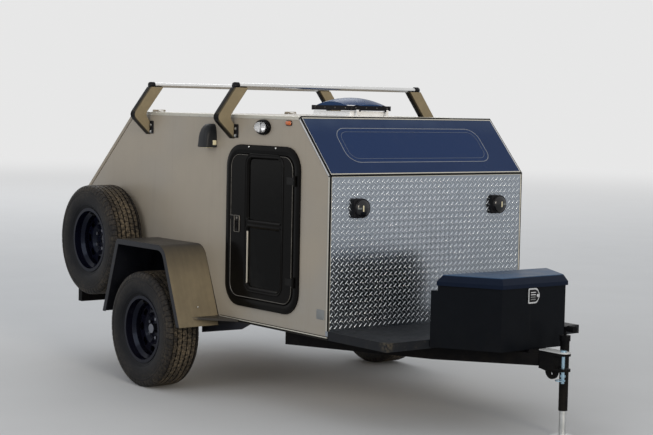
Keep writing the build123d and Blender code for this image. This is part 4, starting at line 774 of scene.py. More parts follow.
# Name, place, aim, size across, power in watts and tint of each soft lamp
LAMPS = (
    ("key", (34.9, -7.8, 9.0), (-0.2, 0.0, 0.9), 10.5, 4100.0, (1.0, 0.90, 0.75)),
    ("side", (5.1, -27.0, 13.4), (-0.3, 0.0, 0.8), 18.0, 1170.0, (0.96, 0.97, 1.0)),
    ("back", (-20.0, 9.0, 13.4), (-0.5, 0.0, 0.8), 15.0, 1170.0, (0.96, 0.98, 1.0)),
)


class TRAILER_OT_stage(bpy.types.Operator):
    """Pale floor, soft lamps, pale world and the camera"""

    bl_idname = "trailer.stage"
    bl_label = "Stage and camera"

    def execute(self, context):
        self.camera(context.scene)
        self.floor(context.scene)
        self.world(context.scene)
        for name, place, aim, size, power, tint in LAMPS:
            light = bpy.data.lights.new(name, "AREA")
            light.shape, light.size, light.energy, light.color = "DISK", size, power, tint
            back = unit(np.array(place) - aim)
            side = unit(np.cross(Z, back))
            self.stand(context.scene, light, place, (side, np.cross(back, side), back))
        context.scene.view_settings.view_transform = "Standard"
        return {"FINISHED"}

    def stand(self, scene, data, place, axes):
        """Puts a lamp or camera at its place, its own X, Y and Z along the axes."""
        made = bpy.data.objects.new(data.name, data)
        made.matrix_world = Matrix.Translation(place) @ Matrix(np.stack(axes, 1).tolist()).to_4x4()
        scene.collection.objects.link(made)
        return made

    def camera(self, scene):
        """A camera looking along its heading, rolled about it."""
        view = scene.trailer_view
        flat = cos(view.pitch)
        heading = np.array([flat * cos(view.yaw), flat * sin(view.yaw), sin(view.pitch)])
        level_right = np.array([sin(view.yaw), -cos(view.yaw), 0.0])
        level_up = np.cross(level_right, heading)
        right = level_right * cos(view.roll) + level_up * sin(view.roll)
        over = -level_right * sin(view.roll) + level_up * cos(view.roll)
        data = bpy.data.cameras.new("camera")
        data.lens, data.sensor_width, data.clip_end = view.lens, 36.0, 500.0
        scene.camera = self.stand(scene, data, view.place, (right, over, -heading))

    def floor(self, scene):
        """A flat disc of rings out to 180 m; its colour fades into the world's far from the trailer."""
        rings, sides = 24, 64
        reach = np.linspace(0.4, 1.0, rings) ** 3 * 180
        points = np.concatenate([level(circle(radius, sides), 0.0) for radius in reach])
        i, j = np.meshgrid(np.arange(rings - 1), np.arange(sides), indexing="ij")
        beside = (j + 1) % sides
        quads = np.stack([
            i * sides + j, (i + 1) * sides + j, (i + 1) * sides + beside, i * sides + beside,
        ], -1)
        mesh = bpy.data.meshes.new("floor_stage")
        mesh.from_pydata(points.tolist(), [], quads.reshape(-1, 4).tolist() + [list(range(sides))])
        mesh.materials.append(material_of("pale floor"))
        made = bpy.data.objects.new("floor_stage", mesh)
        scene.collection.objects.link(made)

    def world(self, scene):
        """A pale backdrop for the camera, gloss and glass, and a slightly cooler one as light."""
        scene.world = bpy.data.worlds.new("studio")
        scene.world.use_nodes = True
        n = Nodes(scene.world.node_tree)
        ray = n.put("ShaderNodeLightPath").outputs
        seen = n.larger(n.larger(ray["Is Camera Ray"], ray["Is Glossy Ray"]), ray["Is Transmission Ray"])
        shade = n.mix(seen, (0.56, 0.58, 0.61), (0.80, 0.80, 0.80))
        n.wire(n.tree.nodes["Background"], {"Color": shade, "Strength": 1.0})


class TRAILER_OT_finishes(bpy.types.Operator):
    """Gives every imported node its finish"""

    bl_idname = "trailer.finishes"
    bl_label = "Finishes"

    def execute(self, context):
        for kind, nodes in NODE_FINISHES.items():
            for node in nodes:
                if not NODES[node].material_slots:
                    raise RuntimeError(f"{node} has no material slot")
                for slot in NODES[node].material_slots:
                    slot.material = material_of(kind)
        return {"FINISHED"}


# Half of the carcass, from the bead out to the shoulder, as (across, radius)
SIDEWALL = [
    (-0.086, 0.204), (-0.092, 0.206), (-0.093, 0.221), (-0.098, 0.228), (-0.105, 0.236), (-0.108, 0.238),
    (-0.109, 0.243), (-0.1115, 0.246), (-0.1150, 0.258), (-0.1180, 0.272), (-0.1195, 0.286),
    (-0.1200, 0.298), (-0.1198, 0.310), (-0.1185, 0.318), (-0.1195, 0.320), (-0.1195, 0.324),
    (-0.1175, 0.326), (-0.1160, 0.334), (-0.1120, 0.344), (-0.1080, 0.353), (-0.1000, 0.3595),
]
# Dust on the sidewall: how much of it lies at each radius
DUST_RADII = [0.240, 0.275, 0.320, 0.350, 0.358]
DUST_HELD = [0.0, 0.05, 0.11, 0.14, 0.02]


class TRAILER_OT_tyres(bpy.types.Operator):
    """Tyres with an all-terrain tread of separate lugs"""

    bl_idname = "trailer.tyres"
    bl_label = "Tyres"

    def execute(self, context):
        sizes = context.scene.trailer_sizes
        for name, _, node, body, centre, side in WHEELS:
            surface = Surface()
            self.carcass(surface, centre, side, TYRE_RADIUS - sizes.tread_depth)
            self.tread(surface, centre, side, TYRE_RADIUS - sizes.tread_depth, sizes.tread_pitches)
            surface.piece(name, body, "tyre_rubber", ["tyre rubber"], [node], crease=28)
        return {"FINISHED"}

    def carcass(self, surface, centre, side, groove):
        """A closed profile of (across, radius), mirrored about the middle and turned about the axle."""
        segments = 144
        half = np.array(SIDEWALL + [(-0.090, groove), (-0.045, groove), (0.0, groove)])
        profile = np.concatenate([half, half[-2::-1] * [-1, 1], [(0.086, 0.200), (-0.086, 0.200)]])
        across, radii = profile.T
        wheel = circle(1.0, segments)
        rings = np.stack([
            wheel[:, :1] * radii, np.broadcast_to(across, (segments, len(across))), wheel[:, 1:] * radii,
        ], -1)
        mask = np.interp(radii, DUST_RADII, DUST_HELD)
        surface.skin(rings, [centre], (X, side * Y, Z), joined=True, mask=mask)

    def tread(self, surface, centre, side, groove, pitches):
        """Rows of lugs: a middle row, two rows on each side of it, and the shoulders that wrap over the
        carcass's edge. Each row has its places across, top and foot radii, sway, shift and dust."""
        step = 2 * pi / pitches
        turns = np.arange(pitches) * step
        shoulder = np.array([0.0870, 0.0940, 0.1010, 0.1085, 0.1155, 0.1172])
        shoulder_top = np.array([-0.0010, -0.0022, -0.0050, -0.0120, -0.0290, -0.0365]) + TYRE_RADIUS
        shoulder_foot = np.array([groove, groove - 0.002, groove - 0.004, 0.352, 0.340, 0.333]) - 0.002
        flat = np.full(4, TYRE_RADIUS)
        sunk = np.full(4, groove - 0.002)
        middle = np.linspace(-0.0140, 0.0140, 4)
        inner = np.linspace(0.0225, 0.0490, 4)
        outer = np.linspace(0.0575, 0.0800, 4)
        rows = (
            (middle, flat, sunk, 0.0055, 0.0, 0.62),
            (inner, flat, sunk, 0.0055, 0.5, 0.55), (-inner[::-1], flat, sunk, 0.0055, 0.5, 0.55),
            (outer, flat, sunk, 0.0045, 0.0, 0.42), (-outer[::-1], flat, sunk, 0.0045, 0.0, 0.42),
            (shoulder, shoulder_top, shoulder_foot, 0.0, 0.5, 0.17),
            (-shoulder, shoulder_top, shoulder_foot, 0.0, 0.5, 0.17),
        )
        for across, top, foot, sway, shift, dusty in rows:
            length = 0.92 * (step * TYRE_RADIUS)
            rings, mask = self.lug(across, top, foot, sway, length, dusty)
            c, s = np.cos(turns + shift * step), np.sin(turns + shift * step)
            ahead = np.stack([c, np.zeros_like(c), s], -1)
            outward = np.stack([-s, np.zeros_like(c), c], -1)
            surface.skin(rings, np.broadcast_to(centre, ahead.shape), (ahead, side * Y, outward), mask=mask)

    def lug(self, across, top, foot, sway, length, dusty):
        """One lug. Section k lies at across[k], its top at top[k] with a small chamfer and its foot under
        the carcass at foot[k]. At s along the roll it moves sideways by sway * (1 - 2 |s| / length)."""
        chamfer, flare = 0.0012, 0.001
        half = length / 2
        s = np.array([-half - flare, -half, -half + chamfer, 0.0, half - chamfer, half, half + flare])
        lift = np.array([0.0, 1.0, 1.0, 1.0, 1.0, 1.0, 0.0])
        drop = np.array([0.0, chamfer, 0.0, 0.0, 0.0, chamfer, 0.0])
        r = foot[:, None] + (top - foot)[:, None] * lift - drop
        moved = across[:, None] + sway * (1 - np.abs(s) / half)
        angle = np.broadcast_to(s / TYRE_RADIUS, r.shape)
        return np.stack([np.sin(angle) * r, moved, np.cos(angle) * r], -1), np.where(lift > 0, dusty, 0.02)


# The folds of the cabin's outline, from the front wall's foot over the roof to the rear wall's foot
FRONT_FOOT, KNEE_FOLD, SLOPE_FOLD, ROOF_FOLD, REAR_FOLD, REAR_FOOT = (
    np.array([x, 0.0, z]) for x, z in (
        (FRONT, FLOOR), (FRONT, KNEE), (SLOPE_TOP, ROOF), (ROOF_REAR, ROOF), (REAR, REAR_KNEE), (REAR, FLOOR),
    )
)
# Name, body, start, end, gap at the start, finish of the trim and finish of its insert
EDGE_TRIMS = (
    ("front_edge_trims", "chassis", np.array([FRONT, 0.0, DECK + 0.001]), KNEE_FOLD, 0.0,
     "trim metal", "seal rubber"),
    ("slope_edge_trims", "chassis", KNEE_FOLD, SLOPE_FOLD, 0.0, "brushed aluminium", "seal rubber"),
    ("roof_edge_trims", "chassis", SLOPE_FOLD, ROOF_FOLD, 0.0, "trim metal", "trim metal"),
    ("hatch_edge_trims", "hatch", ROOF_FOLD, REAR_FOLD, 0.008, "skin paint", "skin paint"),
    ("hatch_rear_trims", "hatch", REAR_FOLD, np.array([REAR, 0.0, HATCH_FOOT + 0.006]), 0.0,
     "skin paint", "skin paint"),
)
# Name, body, the fold, its neighbours before and after, how far each leg reaches and the finish
CROSS_TRIMS = (
    ("knee_trim", "chassis", KNEE_FOLD, FRONT_FOOT, SLOPE_FOLD, (0.009, 0.013), "trim metal"),
    ("slope_top_trim", "chassis", SLOPE_FOLD, KNEE_FOLD, ROOF_FOLD, (0.013, 0.020), "trim metal"),
    ("hatch_knee_trim", "hatch", REAR_FOLD, ROOF_FOLD, REAR_FOOT, (0.018, 0.018), "skin paint"),
)


class TRAILER_OT_edge_trims(bpy.types.Operator):
    """Bright corner trims with a black insert along the cabin's edges"""

    bl_idname = "trailer.edge_trims"
    bl_label = "Edge trims"

    def execute(self, context):
        sizes = context.scene.trailer_sizes
        sections = self.corner(sizes.trim_leg, sizes.trim_inner, sizes.trim_sheet), self.insert()
        for name, body, start, end, gap, metal, bead in EDGE_TRIMS:
            surface = Surface()
            along = unit(end - start)
            for side in SIDES.values():
                edge = np.array([start + along * gap, end]) + Y * side * HALF
                for number, section in enumerate(sections):
                    surface.skin(along_path(section, edge, np.cross(Y, along), side * Y), finish=number)
            surface.piece(name, body, "bar_aluminium", [metal, bead])
        for name, body, fold, before, after, reach, metal in CROSS_TRIMS:
            surface = Surface()
            for number, section in enumerate(self.crossing(fold, before, after, reach, sizes.trim_sheet)):
                ends = np.array([-1.0, 1.0]) * (HALF - 0.001)
                surface.skin(section + ends[:, None, None] * Y, finish=number)
            surface.piece(name, body, "bar_aluminium", [metal, "seal rubber"])
        return {"FINISHED"}

    def corner(self, leg, inner, sheet):
        """The corner trim's section: a leg along -a on the wall and a shorter one along -b on the panel
        beside it, sheet thick, with the corner cut back to seat an insert."""
        cut = 0.006
        near = cut - 0.0008
        return np.array([
            (-leg, 0.0), (-leg, sheet * 0.6), (-leg + 0.002, sheet), (-cut, sheet), (-near, sheet * 0.4),
            (sheet * 0.4, -near), (sheet, -cut), (sheet, -inner + 0.002), (sheet * 0.6, -inner),
            (0.0, -inner), (0.0, 0.0),
        ])

    def insert(self):
        """The rubber insert's section: a round bead that fills the corner between the two legs."""
        t = np.linspace(radians(-25), radians(115), 7)
        bead = np.stack([np.cos(t), np.sin(t)], -1) * 0.0062 + [-0.0025, -0.0025]
        return np.concatenate([[(-0.0062, 0.0004), (-0.001, -0.001), (0.0004, -0.0062)], bead])

    def crossing(self, fold, before, after, reach, sheet):
        """Sections of a flat bent trim and the bead on it, whose two legs follow the panels on each side
        of a fold. The bulge points halfway between the panels' normals."""
        legs = unit(before - fold), unit(after - fold)
        normals = np.cross(legs[0], Y), np.cross(Y, legs[1])
        bulge = unit(normals[0] + normals[1])
        halves = [
            (leg * end, leg * end + normal * sheet, leg * 0.007 + normal * sheet)
            for leg, normal, end in zip(legs, normals, reach)
        ]
        yield fold + np.stack([*halves[0], bulge * sheet * 0.3, *halves[1][::-1], np.zeros(3)])
        halves = [
            (leg * 0.007 + normal * 0.0005, leg * 0.0065 + normal * sheet, leg * 0.003 + bulge * 0.005)
            for leg, normal in zip(legs, normals)
        ]
        yield fold + np.stack([*halves[0], bulge * 0.0058, *halves[1][::-1]])


class TRAILER_OT_tread_bars(bpy.types.Operator):
    """Raised bars of the bright tread plate, front and rear"""

    bl_idname = "trailer.tread_bars"
    bl_label = "Tread bars"

    def execute(self, context):
        sizes = context.scene.trailer_sizes
        for name, x, facing, bottom, top in (
            ("tread_bars_front", FRONT, 1.0, DECK + 0.012, KNEE - 0.011),
            ("tread_bars_rear", REAR, -1.0, FLOOR + 0.012, HATCH_FOOT - 0.012),
        ):
            surface = Surface()
            self.plate(surface, x, facing, bottom, top, sizes.bar_pitch, sizes.trim_inner)
            surface.piece(name, "chassis", "tread_plate", ["bar metal"], crease=60)
        return {"FINISHED"}

    def plate(self, surface, x, facing, bottom, top, pitch, leg):
        """Bars on a square lattice, leaning one way in odd cells and the other way in even ones. A bar's
        width and height both follow the root of 1 - t^4 along its length t from -1 to 1."""
        t = np.array([-1.0, -0.82, -0.4, 0.0, 0.4, 0.82, 1.0])[:, None]
        grow = np.sqrt(np.clip(1.0 - t**4, 0.02, 1.0))
        wide, tall = np.array([(-1.0, -0.2), (-0.62, 0.8), (0.0, 1.0), (0.62, 0.8), (1.0, -0.2)]).T
        long = np.broadcast_to(t * pitch * 0.40, (len(t), len(wide)))
        rings = np.stack([long, wide * grow * pitch * 0.085, tall * grow * 0.0025], -1)
        step = pitch / 2
        rows = np.arange(bottom + step / 2, top - step / 2, step)
        columns = np.arange(-HALF + leg + step * 0.6, HALF - leg - step * 0.5, step)
        i, j = np.meshgrid(np.arange(len(rows)), np.arange(len(columns)), indexing="ij")
        used = (i + j) % 2 == 0
        lean = np.where(i % 2 == 0, 1.0, -1.0)[used]
        places = np.stack([np.full(used.sum(), x), columns[j[used]], rows[i[used]]], -1)
        along = unit(np.stack([np.zeros_like(lean), lean, np.ones_like(lean)], -1))
        out = np.broadcast_to(X * facing, along.shape)
        surface.skin(rings, places, (along, np.cross(out, along), out))


# Sections of the door's trims, as (distance inward from the outline, height off the wall)
RING_CAP = [
    (-0.0025, 0.0), (-0.0025, 0.006), (0.003, 0.0122), (0.013, 0.0150), (0.026, 0.0154), (0.038, 0.0147),
    (0.0465, 0.0125), (0.048, 0.010), (0.048, 0.0),
]
LEAF_BEAD = [(0.003, 0.014), (0.003, 0.0170), (0.005, 0.0188), (0.007, 0.0170), (0.007, 0.014)]
PANE_FRAME = [
    (0.0, 0.014), (0.001, 0.0180), (0.005, 0.0205), (0.009, 0.0205), (0.014, 0.0185), (0.018, 0.0175),
    (0.018, 0.014),
]
PANE_SEAL = [
    (-0.012, 0.014), (-0.012, 0.0180), (-0.009, 0.0200), (-0.002, 0.0200), (0.004, 0.0160), (0.009, 0.0105),
    (0.010, 0.0070), (0.0, 0.0070),
]
LATCH_FRAME = [
    (0.0, 0.014), (0.0, 0.0205), (0.001, 0.0222), (0.0035, 0.0222), (0.0045, 0.0205), (0.0045, 0.014),
]
LATCH_HEIGHT = 1.097
FRAME_CORNER, LEAF_CORNER, GLASS_CORNER, BAR_CORNER = 0.140, 0.085, 0.045, 0.020
FRAME_WIDTH, GLASS_UNDER_SEAL = 0.055, 0.0075


class TRAILER_OT_doors(bpy.types.Operator):
    """Rounded frame caps, leaf beads, window seals and paddle latches on both doors"""

    bl_idname = "trailer.doors"
    bl_label = "Door fittings"

    def execute(self, context):
        for name, side in SIDES.items():
            place, axes = wall_frame(side)
            frame_low, frame_high = low(f"door_frame_{name}"), high(f"door_frame_{name}")
            middle = ((frame_low + frame_high) / 2)[[0, 2]]
            size = (frame_high - frame_low)[[0, 2]]
            cap = Surface()
            cap.ring(rounded(*size, FRAME_CORNER) + middle, RING_CAP, place, axes)
            screw = place + Y * side * 0.0135 + [middle[0], 0, frame_high[2] - 0.010]
            cap.bolts([screw - X * 0.14, screw + X * 0.14], Y * side, 0.0062, "button", 1)
            cap.piece(f"door_ring_cap_{name}", "chassis", "door_black", ["black gloss", "polished"])
            self.leaf(name, place, axes, middle, size - 2 * FRAME_WIDTH)
            leaf_rear = middle[0] - size[0] / 2 + FRAME_WIDTH
            self.latch(name, place, axes, np.array([leaf_rear + 0.075, LATCH_HEIGHT]))
        return {"FINISHED"}

    def leaf(self, name, place, axes, middle, size):
        """A thin bead round the leaf, and a seal round each pane; a pane's corners are tight at the bar."""
        glass = f"door_glass_{name}"
        foot = low(glass)[[0, 2]] + GLASS_UNDER_SEAL
        top = high(glass)[[0, 2]] - GLASS_UNDER_SEAL
        wide, tall = top - foot
        x, z = (top + foot) / 2
        bar_low, bar_high = middle[1] + 0.001, middle[1] + 0.035
        trim = Surface()
        trim.ring(rounded(*size, LEAF_CORNER) + middle, LEAF_BEAD, place, axes, finish=1)
        large, tight = (GLASS_CORNER, GLASS_CORNER), (BAR_CORNER, BAR_CORNER)
        for pane_low, pane_high, radii in (
            (bar_high, top[1], large + tight), (foot[1], bar_low, tight + large),
        ):
            pane = rounded(wide, pane_high - pane_low, radii) + [x, (pane_high + pane_low) / 2]
            trim.ring(pane, PANE_SEAL, place, axes)
        whole = rounded(wide + 0.052, tall + 0.052, 0.072) + [x, z]
        trim.ring(whole, PANE_FRAME, place, axes)
        strip = rounded(0.0036, bar_low - foot[1] - 0.06, 0.0021) + [foot[0] + 0.008, (bar_low + foot[1]) / 2]
        trim.block(strip, 0.0195, place, axes, foot=0.010, finish=2)
        bar = rounded(wide - 0.05, 0.005, 0.0022) + [x, bar_low + 0.004]
        trim.block(bar, 0.0222, place, axes, foot=0.015)
        kinds = ["black gloss", "edge metal", "trim metal"]
        trim.piece(f"door_leaf_trim_{name}", f"door_{name}", "door_black", kinds)

    def latch(self, name, place, axes, middle):
        """A bright-edged frame round a dark pan, the paddle in it, a lock barrel and a striker bar."""
        latch = Surface()
        outline = rounded(0.058, 0.104, 0.007) + middle
        latch.ring(outline, LATCH_FRAME, place, axes, finish=1)
        latch.block(rounded(0.051, 0.097, 0.005) + middle, 0.0172, place, axes, foot=0.010, soft=0.001)
        paddle = rounded(0.034, 0.062, 0.006) + middle + [0.0, -0.011]
        hollow = [(0, 0.012), (0, 0.0215), (0.002, 0.0235), (0.006, 0.0215), (0.012, 0.0205)]
        latch.skin(stacked(paddle, hollow), place, axes)
        barrel = [(0.0085, -0.003), (0.0085, 0.004), (0.0075, 0.0052)]
        spot = place + axes[2] * 0.017 + [middle[0], 0, middle[1] + 0.036]
        latch.turned(barrel, 20, spot, axes, finish=1)
        latch.block(rounded(0.040, 0.024, 0.005) + middle + [-0.051, 0.036], 0.0200, place, axes, foot=0.012)
        line = rounded(0.040, 0.004, 0.0018) + middle + [-0.050, 0.049]
        latch.block(line, 0.0215, place, axes, foot=0.012, soft=0.001, finish=1)
        latch.piece(f"door_latch_{name}", f"door_{name}", "door_black", ["black gloss", "edge metal"])


PORCH_BEZEL = [
    (0.0, 0.0), (0.0, 0.012), (0.003, 0.019), (0.008, 0.0225), (0.013, 0.0225), (0.0165, 0.018),
    (0.0165, 0.004), (0.008, 0.0),
]
PORCH_CUP = [(0.024, 0.006), (0.024, 0.022), (0.0215, 0.022), (0.014, 0.012), (0.006, 0.009)]
# Levels of the wall lamp's hood, as (rise, width, reach from the wall, corner radius)
HOOD_LEVELS = (
    (0.0, 0.098, 0.082, 0.022), (0.004, 0.104, 0.088, 0.024), (0.030, 0.103, 0.085, 0.026),
    (0.062, 0.102, 0.084, 0.030), (0.090, 0.098, 0.079, 0.032), (0.115, 0.089, 0.070, 0.032),
    (0.133, 0.076, 0.057, 0.028), (0.144, 0.060, 0.042, 0.020), (0.148, 0.042, 0.026, 0.012),
)
LAMP_BARREL = [
    (0.057, 0.0), (0.057, 0.0300), (0.0562, 0.0330), (0.0540, 0.0340), (0.0515, 0.0335), (0.0505, 0.0300),
    (0.0500, 0.0100),
]
TAIL_TRAY = [(0, 0), (0, 0.022), (0.002, 0.024), (0.006, 0.024), (0.007, 0.021), (0.007, 0.004), (0.003, 0.0)]


class TRAILER_OT_lamps(bpy.types.Operator):
    """Porch, wall, marker, front and tail lamps"""

    bl_idname = "trailer.lamps"
    bl_label = "Lamps"

    def execute(self, context):
        porch, wall, marker, front, tail = (Surface() for _ in range(5))
        for side in SIDES.values():
            place, axes = wall_frame(side)
            self.porch(porch, place, axes)
            self.wall(wall, place, axes)
            middle = np.array([FRONT - 0.413, FLOOR + 1.2427])
            marker.block(rounded(0.064, 0.032, 0.015) + middle, 0.005, place, axes, finish=1)
            marker.skin(dome(rounded(0.056, 0.026, 0.0125) + middle, middle, 0.013, 0.004, 1.4), place, axes)
            self.front(front, side)
            self.tail(tail, side)
        for surface, name, slot, kinds, stands_for in (
            (porch, "porch_lamp_set", "lamp_clear",
             ["black gloss", "lamp mirror", "clear cover"], ["porch_lamps"]),
            (wall, "wall_lamp_set", "black_plastic", ["hood plastic", "cream lens"], ["wall_lamps"]),
            (marker, "marker_lamps", "lamp_red", ["amber lens", "black moulding"], []),
            (front, "front_lamp_set", "black_plastic",
             ["black moulding", "lamp gloss", "cream lens", "lamp bar"], ["front_lamps"]),
            (tail, "tail_lamp_set", "lamp_red", ["black moulding", "red lens", "cream lens"], ["tail_lamps"]),
        ):
            surface.piece(name, "chassis", slot, kinds, stands_for)
        return {"FINISHED"}

    def porch(self, surface, place, axes):
        """An oval black bezel, two round reflectors in a bright pan, and a clear cover bulging over them."""
        middle = middle_of("porch_lamps")[[0, 2]]
        oval = circle(1.0, 48) * [0.075, 0.0475] + middle
        surface.ring(oval, PORCH_BEZEL, place, axes)
        pan = stacked(oval, [(0.016, 0)])[0][:, :2]
        surface.skin(stacked(pan, [(0, 0.002), (0, 0.010), (0.006, 0.0075)]), place, axes, finish=1)
        spots = [place + X * (middle[0] + away) + Z * middle[1] for away in (-0.026, 0.026)]
        surface.turned(PORCH_CUP, 28, spots, axes, finish=1)
        cover = stacked(oval, [(0.0155, 0)])[0][:, :2]
        surface.skin(dome(cover, middle, 0.031, 0.024), place, axes, finish=2)

    def wall(self, surface, place, axes):
        """A hood whose plan is a rounded D; its width and reach shrink toward the top. Lenses show at
        its front edge and underneath."""
        foot, middle = low("wall_lamps")[2], middle_of("wall_lamps")[0]
        t = np.linspace(0, pi / 2, 7)
        rings = []
        for rise, wide, reach, soft in HOOD_LEVELS:
            arc = np.stack([wide / 2 - soft + soft * np.cos(t), reach - soft + soft * np.sin(t)], -1)
            half = np.concatenate([[(wide / 2, 0.0)], arc])
            plan = np.concatenate([half, half[::-1] * [-1, 1]])
            rings.append(np.stack([plan[:, 0] + middle, np.full(len(plan), foot + rise), plan[:, 1]], -1))
        surface.skin(rings, place, axes)
        ahead = rounded(0.026, 0.030, 0.004) + [0.018, foot + 0.030]
        under = rounded(0.072, 0.050, 0.008) + [middle, 0.042]
        for outline, spot, ways in (
            (ahead, place + X * (middle + 0.0515), (axes[2], Z, X)),
            (under, place + Z * foot, (X, axes[2], -Z)),
        ):
            surface.block(outline, 0.004, spot, ways, foot=-0.002, soft=0.001, finish=1)

    def front(self, surface, side):
        """A square-backed housing with a short round barrel and a low glossy dome in its mouth. Its upright
         and its level bar are painted glints; they follow the dome at the height foot + rise * sqrt(1 - r^2 /
         R^2)."""
        base = np.array([FRONT, side * (high("front_lamps")[1] - 0.057), middle_of("front_lamps")[2]])
        axes = (Y, Z, X)
        back = rounded(0.116, 0.114, (0.05, 0.010, 0.010, 0.05), 10)
        surface.block(back, 0.024, base, axes, soft=0.003)
        surface.turned(LAMP_BARREL, 48, base, axes)
        radius, rise, foot = 0.0505, 0.0165, 0.0315
        surface.skin(dome(circle(radius, 48), np.zeros(2), rise, foot), base, axes, finish=1)
        # Two painted glints on the dome: a cream upright one and a grey level one
        for away, wide, tall, kind in ((0.006, 0.009, 0.036, 2), (0.030, 0.027, 0.010, 3)):
            rings = []
            for size, lift in ((1.0, -0.0020), (1.0, 0.0003), (0.8, 0.0009), (0.05, 0.0009)):
                spots = rounded(wide, tall, 0.004, 4) * size + [side * away, 0.0]
                reach = np.sqrt(1 - (spots**2).sum(1) / radius**2)
                rings.append(np.column_stack([spots, foot + rise * reach + lift]))
            surface.skin(rings, base, axes, finish=kind)

    def tail(self, surface, side):
        """A black tray holding two red lenses with a pale one between them."""
        base = np.array([REAR, side * (high("tail_lamps")[1] - 0.075), middle_of("tail_lamps")[2]])
        axes = (Y, Z, -X)
        surface.ring(rounded(0.150, 0.070, 0.012), TAIL_TRAY, base, axes)
        surface.block(rounded(0.138, 0.058, 0.008), 0.008, base, axes)
        for away, wide, kind in ((-0.043, 0.046, 1), (0.0, 0.034, 2), (0.043, 0.046, 1)):
            cover = dome(rounded(wide, 0.054, 0.006), np.zeros(2), 0.018, 0.007, 1.45)
            surface.skin(cover, base + Y * away, axes, finish=kind)


def bent(points, radius, steps=7):
    """A line of three points whose middle corner P is turned into the curve
    (1-t)^2 A + 2 t (1-t) P + t^2 B, where A and B lie radius away from P."""
    first, middle, last = np.asarray(points, float)
    t = np.linspace(0, 1, steps)[:, None]
    near = middle + unit(first - middle) * radius
    far = middle + unit(last - middle) * radius
    return np.concatenate([[first], (1 - t) ** 2 * near + 2 * t * (1 - t) * middle + t**2 * far, [last]])


BAR_CAP = [
    (0.0165, 0.0), (0.0215, 0.0015), (0.0215, 0.0320), (0.0180, 0.0385), (0.010, 0.0410), (0.002, 0.0415),
]


class TRAILER_OT_arms(bpy.types.Operator):
    """Rack arms with rounded knees, their foot plates and the bar caps"""

    bl_idname = "trailer.arms"
    bl_label = "Rack arms"

    def execute(self, context):
        """Each arm's ring k joins outer[k] and inner[k] across its depth, with small chamfers."""
        bar_low, bar_high = low("rack_bars"), high("rack_bars")
        rise = middle_of("rack_bars")[2] - ROOF
        depth, edge = 0.060, 0.0025
        outer = bent([(0.0, -0.147), (0.135, -0.020), (-0.005, rise - 0.012)], 0.040)
        inner = bent([(0.0, -0.067), (0.038, -0.012), (-0.100, rise - 0.012)], 0.026)
        chamfer = unit(inner - outer) * edge
        sides = (
            (outer + chamfer, 0.0), (inner - chamfer, 0.0), (inner, edge), (inner, depth - edge),
            (inner - chamfer, depth), (outer + chamfer, depth), (outer, depth - edge), (outer, edge),
        )
        rings = np.stack([np.column_stack([line, np.full(len(line), away)]) for line, away in sides], 1)
        foot = rounded(0.101, 0.084, 0.006) + [0.0505, -0.099]
        surface = Surface()
        for x in (bar_high[0] - 0.016, bar_low[0] + 0.016):
            for side in SIDES.values():
                base = np.array([x - depth / 2, side * HALF, ROOF])
                surface.skin(rings, base, (Y * side, Z, X))
                surface.block(foot, 0.008, base, (X, Z, Y * side), finish=1)
                base = np.array([x, side * (bar_high[1] - 0.026), ROOF + rise])
                surface.turned(BAR_CAP, 28, base, (X, Z, Y * side), finish=1)
        kinds = ["arm paint", "black moulding"]
        surface.piece("rack_arm_set", "chassis", "arm_paint", kinds, ["rack_arms"], crease=40)
        return {"FINISHED"}


WINDOW_LINE = [
    (0.0, -0.002), (0.0, 0.0012), (0.001, 0.0018), (0.0026, 0.0018), (0.0036, 0.0012), (0.0036, -0.002),
]
BASE_BEAD = [(0.0, 0.011), (0.0040, 0.011), (0.0048, 0.0125), (0.0048, 0.0155), (0.0040, 0.017), (0.0, 0.017)]
BASE_STRIP = [(0.0, -0.001), (0.003, -0.001), (0.003, 0.021), (0.0, 0.021)]
VALVE_STEM = [
    (0.0075, 0.0), (0.0075, 0.010), (0.0042, 0.014), (0.0042, 0.030), (0.0050, 0.031), (0.0050, 0.040),
    (0.0035, 0.042),
]


